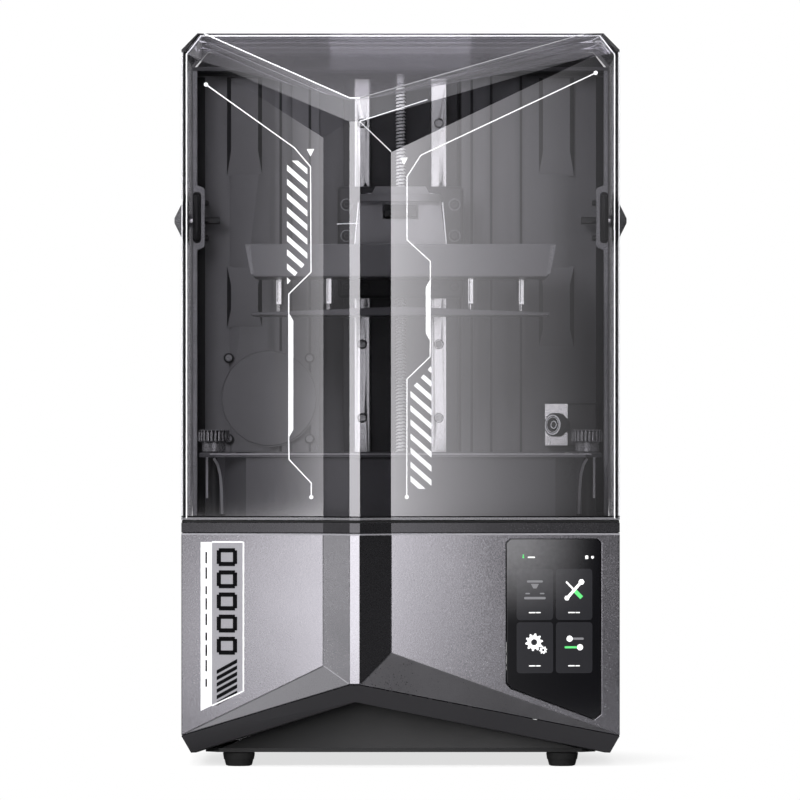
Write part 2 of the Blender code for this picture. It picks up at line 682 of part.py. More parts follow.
def lid_surface():
    """The lid's outer skin: folded front, crowned brow, roof and sides, open at the back and below."""
    bm = bmesh.new()
    named = lid_front_points()
    low = [bm.verts.new(p) for p in named.pop("low")]
    v = {name: bm.verts.new(p) for name, p in named.items()}
    back = {}
    for side, sign in (("left", -1), ("right", 1)):
        back[side] = [
            bm.verts.new((sign * HALF_WIDTH, y * MM, z * MM))
            for y, z in ((60, 184.5), (100, 197), (LID_BACK_Y / MM, 252), (LID_BACK_Y / MM, 535))
        ]
        back[side].append(bm.verts.new((sign * 152 * MM, LID_BACK_Y, TOP_Z)))
    bm.faces.new((low[0], low[1], v["left_fold"], v["left_inner"], v["left_corner"]))
    bm.faces.new((low[1], low[2], v["ridge_left"], v["left_fold"]))
    bm.faces.new((low[2], low[3], v["ridge_right"], v["ridge_left"]))
    bm.faces.new((low[3], low[4], v["right_fold"], v["ridge_right"]))
    bm.faces.new((low[4], low[5], v["right_corner"], v["right_inner"], v["right_fold"]))
    bm.faces.new((v["left_fold"], v["ridge_left"], v["left_inner"]))
    bm.faces.new((v["right_fold"], v["right_inner"], v["ridge_right"]))
    bm.faces.new((v["left_inner"], v["ridge_left"], v["brow_left"]))
    bm.faces.new((v["left_inner"], v["brow_left"], v["roof_left"]))
    bm.faces.new((v["right_inner"], v["brow_right"], v["ridge_right"]))
    bm.faces.new((v["right_inner"], v["roof_right"], v["brow_right"]))
    bm.faces.new((v["ridge_left"], v["ridge_right"], v["brow_right"], v["brow_left"]))
    bm.faces.new((v["brow_left"], v["brow_right"], v["roof_right"], v["roof_left"]))
    bm.faces.new((v["left_corner"], v["left_inner"], v["roof_left"], v["eave_left"]))
    bm.faces.new((v["right_corner"], v["eave_right"], v["roof_right"], v["right_inner"]))
    bm.faces.new((v["roof_left"], v["roof_right"], v["eave_right"], back["right"][4], back["left"][4],
                  v["eave_left"]))
    for side, corner, eave, foot in (("left", "left_corner", "eave_left", low[0]),
                                     ("right", "right_corner", "eave_right", low[5])):
        bm.faces.new((foot, v[corner], *reversed(back[side][:4])))
        bm.faces.new((v[corner], v[eave], back[side][4], back[side][3]))
    return bm


def lid_shell(mats):
    lid = object_from("lid_shell", lid_surface(), mats["smoke"], (0, LID_HINGE_Y, LID_HINGE_Z))
    thicken(lid, LID_WALL)
    for side, sign in (("left", -1), ("right", 1)):
        cut(lid, rod(f"lid_pin_hole_{side}", (sign * 155 * MM, LID_HINGE_Y, LID_HINGE_Z), sign * X_AXIS,
                     15 * MM, 5.4 * MM))
    return lid


def lid_seal(mats):
    """A thin rubber strip along the lid's lower edge: front and both sides."""
    outer = front_fold(0.3 * MM) + [(HALF_WIDTH - 0.3 * MM, 58 * MM)]
    inner = front_fold(2.2 * MM) + [(HALF_WIDTH - 2.2 * MM, 58 * MM)]
    outline = [(-HALF_WIDTH + 0.3 * MM, 58 * MM), *outer, *inner[::-1], (-HALF_WIDTH + 2.2 * MM, 58 * MM)]
    return prism_z("lid_seal", outline, DECK_TOP_Z + GAP, LID_BOTTOM_Z - GAP, mats["rubber"])


def hinge_caps(mats):
    """A pointed cover over each hinge pin, on the outside of the lid."""
    def cap(side, sign):
        bm = bmesh.new()
        start = sign * (HALF_WIDTH + GAP)
        ring = [bm.verts.new((start, LID_HINGE_Y + y * MM, LID_HINGE_Z + z * MM))
                for y, z in ((-16, 0), (-7, -14), (7, -14), (16, 0), (7, 14), (-7, 14))]
        tip = [bm.verts.new((sign * HALF_SPAN, LID_HINGE_Y + y * MM, LID_HINGE_Z + z * MM))
               for y, z in ((-5, 0), (-2, -2), (2, -2), (5, 0), (2, 2), (-2, 2))]
        for i in range(6):
            j = (i + 1) % 6
            bm.faces.new((ring[i], ring[j], tip[j], tip[i]))
        bm.faces.new(ring)
        bm.faces.new(tip)
        piece = object_from(f"hinge_cap_{side}", bm, mats["dark_plastic"], (0, LID_HINGE_Y, LID_HINGE_Z))
        cut(piece, rod(f"cap_socket_{side}", (sign * 160 * MM, LID_HINGE_Y, LID_HINGE_Z), sign * X_AXIS,
                       9 * MM, 5.4 * MM))
        return piece

    return mirrored_pair(cap)


# ---------------------------------------------------------------- moving platform

def carriage(mats):
    """Plate, two rail blocks and the screw nut, which ride up and down the tower."""
    plate = box("carriage_plate", (-48.5 * MM, 42 * MM, 352 * MM), (48.5 * MM, 49.7 * MM, 438 * MM),
                mats["dark_metal"], 2 * MM)

    def block(side, sign):
        x = sign * RAIL_X
        piece = box(f"rail_block_{side}", (x - 13.5 * MM, 50 * MM, 370 * MM),
                    (x + 13.5 * MM, 64.5 * MM, 420 * MM), mats["steel"])
        half = RAIL_WIDTH / 2 + GAP
        cut(piece, box(f"block_groove_{side}", (x - half, 58 * MM - GAP, 360 * MM),
                       (x + half, 70 * MM, 430 * MM)))
        return piece

    nut = box("screw_nut", (-12 * MM, 50 * MM, 396 * MM), (12 * MM, 63 * MM, 414 * MM), mats["brass"])
    cut(nut, rod("nut_bore", (0, SCREW_Y, 390 * MM), Z_AXIS, 30 * MM, SCREW_RADIUS + 0.5 * MM))
    return plate, mirrored_pair(block), nut


def cantilever_arm(mats):
    outline = [(-34 * MM, TRAY_TOP_Z + GAP), (34 * MM, TRAY_TOP_Z + GAP), (30.5 * MM, ARM_TOP_Z),
               (-30.5 * MM, ARM_TOP_Z)]
    arm = prism_y("cantilever_arm", outline, -62 * MM, 42 * MM - GAP, mats["aluminium"])
    hat = box("arm_hat", (-30.6 * MM, -50 * MM, ARM_TOP_Z - 1 * MM), (30.6 * MM, 20 * MM, 428.6 * MM))
    crest = [(-23.6 * MM, 428 * MM), (23.6 * MM, 428 * MM), (19 * MM, 436 * MM), (-19 * MM, 436 * MM)]
    ridge = prism_y("arm_ridge", crest, -30 * MM, 20 * MM)
    recess = box("arm_recess", (-13.4 * MM, -70 * MM, 410.4 * MM), (13.4 * MM, -40 * MM, 440 * MM))
    join(arm, hat, ridge)
    cut(arm, recess)
    return arm


def release_lever(mats):
    """The lever in the arm's nose that frees the platform; it swings up about a level pin."""
    pivot = (0, -45 * MM, 416.5 * MM)
    radius = 4.3 * MM
    angles = [pi * (i / 6 - 0.5) for i in range(7)]
    heel = [(pivot[1] + radius * cos(angle), pivot[2] + radius * sin(angle)) for angle in angles]
    profile = [(-66 * MM, pivot[2] - radius)] + heel + [(-60 * MM, 421.6 * MM), (-66 * MM, 417 * MM)]
    points = [(-12.4 * MM, y, z) for y, z in profile]
    surface = extrude_outline(points, (24.8 * MM, 0, 0))
    return object_from("release_lever", surface, mats["black_plastic"], pivot)


def platform(mats):
    """Upper tray, four sprung posts and the build plate."""
    outline = [(-117 * MM, TRAY_TOP_Z), (-111 * MM, TRAY_BOTTOM_Z), (111 * MM, TRAY_BOTTOM_Z),
               (117 * MM, TRAY_TOP_Z)]
    half_y = PLATE_HALF[1]
    tray = prism_y("platform_tray", outline, WORK_Y - half_y, WORK_Y + half_y, mats["dark_metal"])
    for side, sign in (("left", -1), ("right", 1)):
        near, far = 40 * MM, 108 * MM
        low_x, high_x = sorted((sign * near, sign * far))
        cut(tray, box(f"tray_pocket_{side}", (low_x, WORK_Y - half_y + 5 * MM, TRAY_BOTTOM_Z + 4 * MM),
                      (high_x, WORK_Y + half_y - 5 * MM, TRAY_TOP_Z + 5 * MM)))
    ends = PLATE_HALF[0]
    roof = [(-ends, PLATE_BOTTOM_Z), (ends, PLATE_BOTTOM_Z), (ends, PLATE_BOTTOM_Z + 2.1 * MM),
            (0, PLATE_BOTTOM_Z + 6.6 * MM), (-ends, PLATE_BOTTOM_Z + 2.1 * MM)]
    plate = prism_y("build_plate", roof, WORK_Y - half_y, WORK_Y + half_y, mats["aluminium"])
    posts = []
    for i, x in enumerate(POST_XS):
        y = WORK_Y + (-28 * MM if i in (1, 2) else 20 * MM)
        profile = [(0, 2.2 * MM), (6 * MM, 2.2 * MM), (6 * MM, 3.6 * MM), (25.5 * MM, 3.6 * MM)]
        posts.append(turned(f"platform_post_{i + 1}", profile, (x, y, PLATE_BOTTOM_Z + 2.8 * MM), Z_AXIS,
                            mats["chrome"], 16))
        cut(plate, rod(f"post_socket_{i + 1}", (x, y, PLATE_BOTTOM_Z + 0.5 * MM), Z_AXIS, 15 * MM, 2.9 * MM,
                       segments=16))
    return tray, plate, posts


# ---------------------------------------------------------------- tank

def resin_tank(mats):
    """An open tank on a wide flange; its bottom is closed by the film."""
    half_x, half_y = TANK_HALF
    flange = rectangle(TANK_FLANGE_X, half_y + 3 * MM, 0, WORK_Y, 12 * MM)
    tank = prism_z("resin_tank", flange, TANK_TOP_Z - 3.2 * MM, TANK_TOP_Z, mats["dark_metal"])
    walls = prism_z("tank_walls", rectangle(half_x, half_y, 0, WORK_Y, 16 * MM), FILM_Z + GAP,
                    TANK_TOP_Z - 1 * MM)
    hollow = prism_z("tank_hollow", rectangle(half_x - 6 * MM, half_y - 6 * MM, 0, WORK_Y, 11 * MM),
                     FILM_Z - 5 * MM, TANK_TOP_Z + 5 * MM)
    join(tank, walls)
    cut(tank, hollow)
    for side, sign in (("left", -1), ("right", 1)):
        cut(tank, rod(f"knob_hole_{side}", (sign * KNOB_X, WORK_Y, TANK_TOP_Z - 10 * MM), Z_AXIS, 20 * MM,
                      3.5 * MM, segments=16))
    return tank


def tank_film(mats):
    half_x, half_y = TANK_HALF
    return prism_z("release_film", rectangle(half_x - 1 * MM, half_y - 1 * MM, 0, WORK_Y, 15 * MM),
                   FILM_Z - 0.5 * MM, FILM_Z, mats["film"])


def tank_knobs(mats):
    """Thumb screws that clamp the tank's flange to the tilt frame."""
    def knob(side, sign):
        profile = [(0, 2.9 * MM), (20 * MM, 2.9 * MM), (20 * MM, 9 * MM), (27.4 * MM, 9 * MM),
                   (27.4 * MM, 12 * MM), (36 * MM, 12 * MM), (37 * MM, 11 * MM)]
        return turned(f"tank_knob_{side}", profile, (sign * KNOB_X, WORK_Y, TANK_TOP_Z + GAP - 20 * MM),
                      Z_AXIS, mats["black_plastic"], 20)

    return mirrored_pair(knob)


def tilt_frame(mats):
    """The tank's cradle: a low frame with a post under each knob, hinged at its rear edge."""
    outer = prism_z("tilt_frame", rectangle(152 * MM, 85 * MM, 0, WORK_Y - 5 * MM, 4 * MM), 178.9 * MM,
                    183.6 * MM, mats["black_plastic"])
    half_x, half_y = SCREEN_HALF
    cut(outer, box("tilt_window", (-half_x - 1 * MM, WORK_Y - half_y - 1 * MM, 170 * MM),
                   (half_x + 1 * MM, WORK_Y + half_y + 1 * MM, 190 * MM)))
    for side, sign in (("left", -1), ("right", 1)):
        post = turned(f"tilt_post_{side}", [(0, 7 * MM), (50 * MM - GAP, 5.5 * MM)],
                      (sign * KNOB_X, WORK_Y, TANK_TOP_Z - 53.2 * MM), Z_AXIS, segments=16)
        bore = rod(f"tilt_bore_{side}", (sign * KNOB_X, WORK_Y, TANK_TOP_Z - 24 * MM), Z_AXIS, 30 * MM,
                   3.5 * MM, segments=16)
        join(outer, post)
        cut(outer, bore)
    return outer


def tilt_drive(mats):
    """A motor under the deck and its lifter pin, which raises the front bar of the tilt frame."""
    motor = box("tilt_motor", (-16 * MM, LIFTER_Y - 14 * MM, 105 * MM),
                (16 * MM, LIFTER_Y + 12 * MM, 139 * MM), mats["dark_metal"], 2 * MM)
    lifter = rod("tilt_lifter", (0, LIFTER_Y, 139.4 * MM), Z_AXIS, 39.2 * MM, 4 * MM, mats["steel"], 16)
    return motor, lifter


def joint_empty(name, location):
    empty = bpy.data.objects.new(name, None)
    empty.location = location
    bpy.context.scene.collection.objects.link(empty)
    return empty


def carry(empty, *pieces):
    """Parent the pieces to a joint's empty without moving them."""
    offset = Matrix.Translation(empty.location).inverted()
    for piece in pieces:
        piece.parent = empty
        piece.matrix_parent_inverse = offset


def main():
    for obj in list(bpy.data.objects):
        bpy.data.objects.remove(obj)
    mats = make_materials()
    base_shell(mats)
    base_skirt(mats)
    bottom_pan(mats)
    feet(mats)
    top_deck(mats)
    touch_screen(mats)
    light_engine(mats)
    electronics(mats)
    power_switch(mats)
    fan("base_fan", (BASE_FAN_X, BACK_Y - SHELL_WALL - 9.5 * MM, BASE_FAN_Z), 35 * MM, 18 * MM, 7, mats)
    z_drive(mats)
    tower_housing(mats)
    inner_wall(mats)
    rails(mats)
    hinge_parts(mats)
    fan("chamber_fan", (CHAMBER_FAN_X, 85 * MM, CHAMBER_FAN_Z), 32 * MM, 18 * MM, 7, mats)
    chamber_camera(mats)

    lid_shell(mats)
    seal = lid_seal(mats)
    carry(joint_empty("lid_hinge", (0, LID_HINGE_Y, LID_HINGE_Z)), seal)
    hinge_caps(mats)

    plate, blocks, nut = carriage(mats)
    arm = cantilever_arm(mats)
    release_lever(mats)
    tray, build_plate, posts = platform(mats)
    z_slide = joint_empty("z_slide", (0, SCREW_Y, PLATE_BOTTOM_Z))
    carry(z_slide, plate, *blocks, nut, arm, tray, build_plate, *posts)

    tank = resin_tank(mats)
    film = tank_film(mats)
    tank_knobs(mats)
    cradle = tilt_frame(mats)
    carry(joint_empty("tilt_axis", (0, TILT_AXIS_Y, TILT_AXIS_Z)), tank, film, cradle)
    tilt_drive(mats)


main()
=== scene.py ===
"""Looks of the resin printer: finishes, fine geometry, floor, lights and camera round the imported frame.

Shapes are drawn in millimetres and turned into metres when they are saved.
"""
import json
from math import cos, pi, radians, sin, tau

import bmesh
import bpy
from mathutils import Matrix, Vector

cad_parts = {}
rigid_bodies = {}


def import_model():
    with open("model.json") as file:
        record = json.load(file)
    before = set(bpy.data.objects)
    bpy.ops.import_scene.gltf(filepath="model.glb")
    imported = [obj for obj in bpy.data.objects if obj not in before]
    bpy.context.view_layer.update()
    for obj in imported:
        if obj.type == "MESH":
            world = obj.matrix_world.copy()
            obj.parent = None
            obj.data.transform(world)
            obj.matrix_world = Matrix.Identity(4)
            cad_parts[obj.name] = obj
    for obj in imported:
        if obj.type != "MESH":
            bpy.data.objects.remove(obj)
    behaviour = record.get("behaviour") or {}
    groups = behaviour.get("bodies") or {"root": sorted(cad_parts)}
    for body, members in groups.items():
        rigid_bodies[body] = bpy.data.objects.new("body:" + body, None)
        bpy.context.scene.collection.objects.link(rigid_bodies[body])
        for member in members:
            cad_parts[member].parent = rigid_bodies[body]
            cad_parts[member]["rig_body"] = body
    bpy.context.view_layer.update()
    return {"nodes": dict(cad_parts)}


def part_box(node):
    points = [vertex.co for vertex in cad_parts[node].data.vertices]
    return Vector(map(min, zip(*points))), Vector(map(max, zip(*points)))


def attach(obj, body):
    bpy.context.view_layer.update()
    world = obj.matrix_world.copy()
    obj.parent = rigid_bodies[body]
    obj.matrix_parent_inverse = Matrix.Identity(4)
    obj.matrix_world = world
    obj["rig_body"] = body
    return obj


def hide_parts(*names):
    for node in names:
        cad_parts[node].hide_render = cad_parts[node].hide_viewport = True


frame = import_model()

MM = 0.001
X_AXIS, Y_AXIS, Z_AXIS = Vector((1, 0, 0)), Vector((0, 1, 0)), Vector((0, 0, 1))
FORWARD = -Y_AXIS
SIDES = (("left", -1), ("right", 1))
CORNERS = ((-1, -1), (-1, 1), (1, -1), (1, 1))
SAME_WAY = 0.9995  # two unit normals with a larger dot product than this belong to the same flat face


# ---------------- shader helpers

class Shader:
    """A node tree that is being built; most methods add a node and give back its first output."""

    def __init__(self, owner):
        self.owner = owner
        owner.use_nodes = True
        self.tree = owner.node_tree
        self.tree.nodes.clear()

    def node(self, kind, inputs=None, **settings):
        """Add a node; an input that is a socket is linked, any other value is set."""
        made = self.tree.nodes.new("ShaderNode" + kind)
        for key, value in settings.items():
            setattr(made, key, value)
        for key, value in (inputs or {}).items():
            socket = made.inputs[key]
            if isinstance(value, bpy.types.NodeSocket):
                self.tree.links.new(value, socket)
            elif socket.type == "RGBA" and len(value) == 3:
                socket.default_value = (*value, 1)
            else:
                socket.default_value = value
        return made.outputs

    def coords(self, stretch=(1, 1, 1)):
        place = self.node("TexCoord")["Object"]
        return self.node("Mapping", {"Vector": place, "Scale": stretch})[0]

    def noise(self, vector, scale, detail=3.0, roughness=0.55):
        return self.node("TexNoise", {
            "Vector": vector, "Scale": scale, "Detail": detail, "Roughness": roughness})[0]

    def remap(self, value, low, high, to_low=0.0, to_high=1.0, smooth=False):
        return self.node("MapRange", {
            "Value": value, "From Min": low, "From Max": high, "To Min": to_low, "To Max": to_high},
            interpolation_type="SMOOTHSTEP" if smooth else "LINEAR")[0]

    def maths(self, operation, a, b=0.0):
        return self.node("Math", {0: a, 1: b}, operation=operation)[0]

    def times(self, a, b):
        return self.maths("MULTIPLY", a, b)

    def plus(self, a, b):
        return self.maths("ADD", a, b)

    def colours(self, factor, a, b, blend="MIX"):
        return self.node("Mix", {0: factor, 6: a, 7: b}, data_type="RGBA", blend_type=blend)[2]

    def blend(self, factor, a, b):
        return self.node("MixShader", {0: factor, 1: a, 2: b})[0]

    def principled(self, inputs):
        return self.node("BsdfPrincipled", inputs)[0]

    def ray_is(self, kind):
        return self.node("LightPath")[f"Is {kind} Ray"]

    def end(self, surface, kind="Material"):
        self.node("Output" + kind, {"Surface": surface})
        return self.owner


def new_shader(name):
    return Shader(bpy.data.materials.new(name))


def shade(colour, amount):
    return tuple(min(1.0, c * amount) for c in colour)


def finish(name, colour, roughness, metallic=0.0, grain=900, speckle=0.08, relief=0.15, depth=0.1,
           uneven=0.08, stretch=(1, 1, 1), coat=0.0, rough_spread=0.08):
    """A solid surface: fine grain in colour, roughness and relief (depth in mm), and a broad uneven sheen."""
    s = new_shader(name)
    fine = s.noise(s.coords(stretch), grain, 2.5)
    broad = s.noise(s.coords(), 11.0, 4.0)
    grained = s.colours(fine, shade(colour, 1 - 2 * speckle), shade(colour, 1 + 2 * speckle))
    worn = s.colours(s.remap(broad, 0.3, 0.7), (1 - uneven,) * 3, (1 + uneven,) * 3)
    rough = s.remap(fine, 0.25, 0.75, roughness - rough_spread, roughness + rough_spread)
    bump = s.node("Bump", {"Height": fine, "Strength": relief, "Distance": depth * MM})[0]
    return s.end(s.principled({
        "Base Color": s.colours(1.0, grained, worn, "MULTIPLY"), "Metallic": metallic, "Coat Weight": coat,
        "Roughness": s.plus(rough, s.remap(broad, 0.3, 0.7, -0.04, 0.04)), "Coat Roughness": 0.08,
        "Normal": bump}))


def glass_with_painted_reflection(name, colour, roughness):
    """Black display glass with a painted grey reflection of a soft lamp, fading out from its upper left
    corner.
    """
    fade_right, rise_up = (0.080, 0.150), (0.105, 0.168)  # metres along x and z
    s = new_shader(name)
    place = s.coords()
    x, _, z = s.node("SeparateXYZ", {0: place})
    # painted reflection: the glass turns grey towards its upper left corner, as a soft lamp's reflection
    # would make it look
    painted_reflection = s.times(s.remap(x, *fade_right, 1, 0, smooth=True), s.remap(z, *rise_up, smooth=True))
    film = s.remap(s.noise(place, 300), 0.3, 0.7, 0.92, 1.08)
    tinted = s.colours(s.times(painted_reflection, film), colour, (0.16, 0.158, 0.165))
    return s.end(s.principled({
        "Base Color": tinted, "Roughness": roughness, "Coat Weight": 0.5, "Coat Roughness": 0.08}))


def glow(name, colour, strength):
    """A lit display colour, with faint unevenness from row to row."""
    s = new_shader(name)
    rows = s.noise(s.coords((1, 1, 8)), 500, 1.0)
    lit = s.colours(rows, shade(colour, 0.9), shade(colour, 1.08))
    return s.end(s.principled({
        "Base Color": lit, "Roughness": 0.2, "Emission Color": lit, "Emission Strength": strength}))


def smoky(name, tint, mirror, milk=0.0, milk_colour=(0.85, 0.84, 0.89), fade=None, edge_on=0.8, lift=0.0):
    """See-through smoky acrylic: what is behind it shows through the tint, what is ahead is mirrored.

    mirror is the mirrored share seen square on and milk a share of cloudy white. fade, as (x where full,
    x where least, least share), thins both across the pane as a painted fall-off of the reflection and the
    cloud; edge_on is how far it mirrors when seen edge on.
    lift is a painted glow in the cloud, standing for lamp light that comes through it. Lamps reach what is
    behind the pane.
    """
    s = new_shader(name)
    place = s.coords()
    scuffs = s.noise(s.coords((1, 1, 0.2)), 260)
    evenness_and_painted_fade = s.remap(s.noise(place, 9.0), 0.3, 0.7, 0.95, 1.05)
    # the fade is a painted fall-off of the reflection and the cloud across the pane
    if fade:
        across = s.node("SeparateXYZ", {0: place})[0]
        evenness_and_painted_fade = s.times(evenness_and_painted_fade, s.remap(across, fade[0] * MM, fade[1] * MM, 1.0, fade[2]))
    clear = s.node("BsdfTransparent", {"Color": tint})[0]
    # the cloud's emission (lift) is a painted glow, standing for lamp light let through
    cloud = s.principled({"Base Color": milk_colour, "Roughness": 0.3, "Emission Color": milk_colour,
                          "Emission Strength": lift})
    shine = s.node("BsdfGlossy", {"Color": (0.98, 0.97, 1.0),
                                  "Roughness": s.remap(scuffs, 0.35, 0.75, 0.04, 0.06)})[0]
    grazing = s.remap(s.node("Fresnel", {"IOR": 1.45})[0], 0.06, 1.0, 0.0, edge_on)
    share = s.plus(s.times(evenness_and_painted_fade, mirror), grazing)
    seen = s.blend(share, s.blend(s.times(evenness_and_painted_fade, milk), clear, cloud), shine)
    lamplit = s.node("BsdfTransparent", {"Color": (0.92, 0.92, 0.93)})[0]
    return s.end(s.blend(s.ray_is("Shadow"), seen, lamplit))


# ---------------- finishes

FIN = {
    "paint": finish("gunmetal_paint", (0.445, 0.435, 0.470), 0.22, 1.0, grain=850, speckle=0.13, relief=0.17,
                    depth=0.13, uneven=0.03, rough_spread=0.05),
    # Lit and shaded copies of the gunmetal paint: painted light and shade on single facets of the base and
    # deck
    "paint_shaded_fold": finish("shaded_paint", (0.095, 0.093, 0.100), 0.26, 0.94, grain=1100, relief=0.2),
    "paint_lit_fold": finish("lit_paint", (0.555, 0.545, 0.580), 0.22, 0.94, grain=1100, relief=0.17,
                          depth=0.13),
    "paint_shaded_chin": finish("gunmetal_shaded_chin", (0.33, 0.324, 0.346), 0.34, 1.0, grain=1100, relief=0.17, depth=0.13),
    "skirt": finish("skirt_plastic", (0.033, 0.032, 0.035), 0.42, grain=1400, relief=0.2),
    "deck": finish("deck_trim", (0.095, 0.093, 0.100), 0.24, 0.94, grain=1400),
    "tower": finish("tower_plastic", (0.050, 0.049, 0.053), 0.48, grain=1300, relief=0.35),
    "wall": finish("wall_plastic", (0.105, 0.103, 0.110), 0.50, grain=1100, relief=0.3),
    "black": finish("black_plastic", (0.014, 0.014, 0.015), 0.38, grain=1500, relief=0.25),
    "rubber": finish("rubber", (0.012, 0.012, 0.012), 0.75, grain=800, relief=0.5, speckle=0.2),
    "steel": finish("ground_steel", (0.98, 0.97, 0.99), 0.20, 1.0, grain=1600, speckle=0.03, relief=0.03,
                    stretch=(1, 1, 0.02), uneven=0.03, rough_spread=0.03),
    "thread": finish("rolled_steel", (0.92, 0.91, 0.93), 0.30, 0.30, grain=1200, relief=0.08),
    "chrome": finish("chrome", (0.98, 0.98, 0.99), 0.12, 1.0, grain=500, speckle=0.02, relief=0.02,
                     uneven=0.02, rough_spread=0.02),
    "aluminium": finish("blasted_aluminium_and_highlight", (0.46, 0.455, 0.475), 0.40, 1.0, grain=1500, relief=0.3),
    "brushed": finish("brushed_aluminium", (0.66, 0.655, 0.68), 0.30, 1.0, grain=1400, stretch=(0.03, 1, 1)),
    "dark_metal": finish("anodised_metal", (0.055, 0.054, 0.058), 0.36, 0.6, grain=1500, relief=0.2),
    "tray": finish("tray_metal", (0.140, 0.138, 0.147), 0.36, 0.3, grain=1500, relief=0.2),
    "knob": finish("knob_metal", (0.30, 0.296, 0.31), 0.24, 0.75, grain=1300),
    "tank": finish("tank_metal", (0.105, 0.103, 0.112), 0.34, 0.65, grain=1500, relief=0.2),
    "board": finish("circuit_board", (0.015, 0.09, 0.045), 0.45, grain=350, speckle=0.2, relief=0.5),
    "brass": finish("brass", (0.66, 0.47, 0.20), 0.28, 1.0, grain=1200),
    "glass": finish("black_glass", (0.006, 0.006, 0.008), 0.06, grain=300, relief=0.01, rough_spread=0.02,
                    coat=1.0),
    "film": smoky("release_film", (0.85, 0.88, 0.92), 0.05, 0.2),
    "print": finish("white_print", (0.82, 0.82, 0.84), 0.45, grain=2500, speckle=0.03, relief=0.05),
    "edge": finish("painted_highlight_white", (0.86, 0.86, 0.90), 0.25, speckle=0.04, relief=0.05, coat=1.0),
    "label": finish("label_grey_and_highlight", (0.34, 0.335, 0.36), 0.42, 0.4, grain=1300),
    # near-black finishes: the lens barrel's black and printed ink, but mostly painted shade on rib flanks,
    # pad sides, slots, gaps and screw rings, thread flanks and knob flutes, and painted dark reflections on
    # lid edges and posts
    "shade": finish("black_and_painted_shade", (0.007, 0.007, 0.008), 0.6, grain=1100, relief=0.2),
    "ink": finish("dark_ink_and_painted_shade", (0.016, 0.016, 0.018), 0.8, 0.9, grain=2500, relief=0.05),
    "cap": finish("hinge_cap", (0.19, 0.188, 0.20), 0.3, 0.3, grain=1200),
    "screen": glass_with_painted_reflection("screen_glass", (0.004, 0.004, 0.005), 0.08),
    "tile": glass_with_painted_reflection("screen_tile", (0.020, 0.020, 0.023), 0.12),
    "icon": glow("icon_white", (0.80, 0.80, 0.80), 0.55),
    "icon_dim": glow("icon_grey", (0.18, 0.18, 0.19), 0.25),
    "icon_green": glow("icon_green", (0.10, 0.55, 0.16), 0.5),
}


# ---------------- mesh helpers

def linked(name, bm):
    """Turn a bmesh into an object of the scene."""
    mesh = bpy.data.meshes.new(name)
    bm.to_mesh(mesh)
    bm.free()
    obj = bpy.data.objects.new(name, mesh)
    bpy.context.scene.collection.objects.link(obj)
    return obj


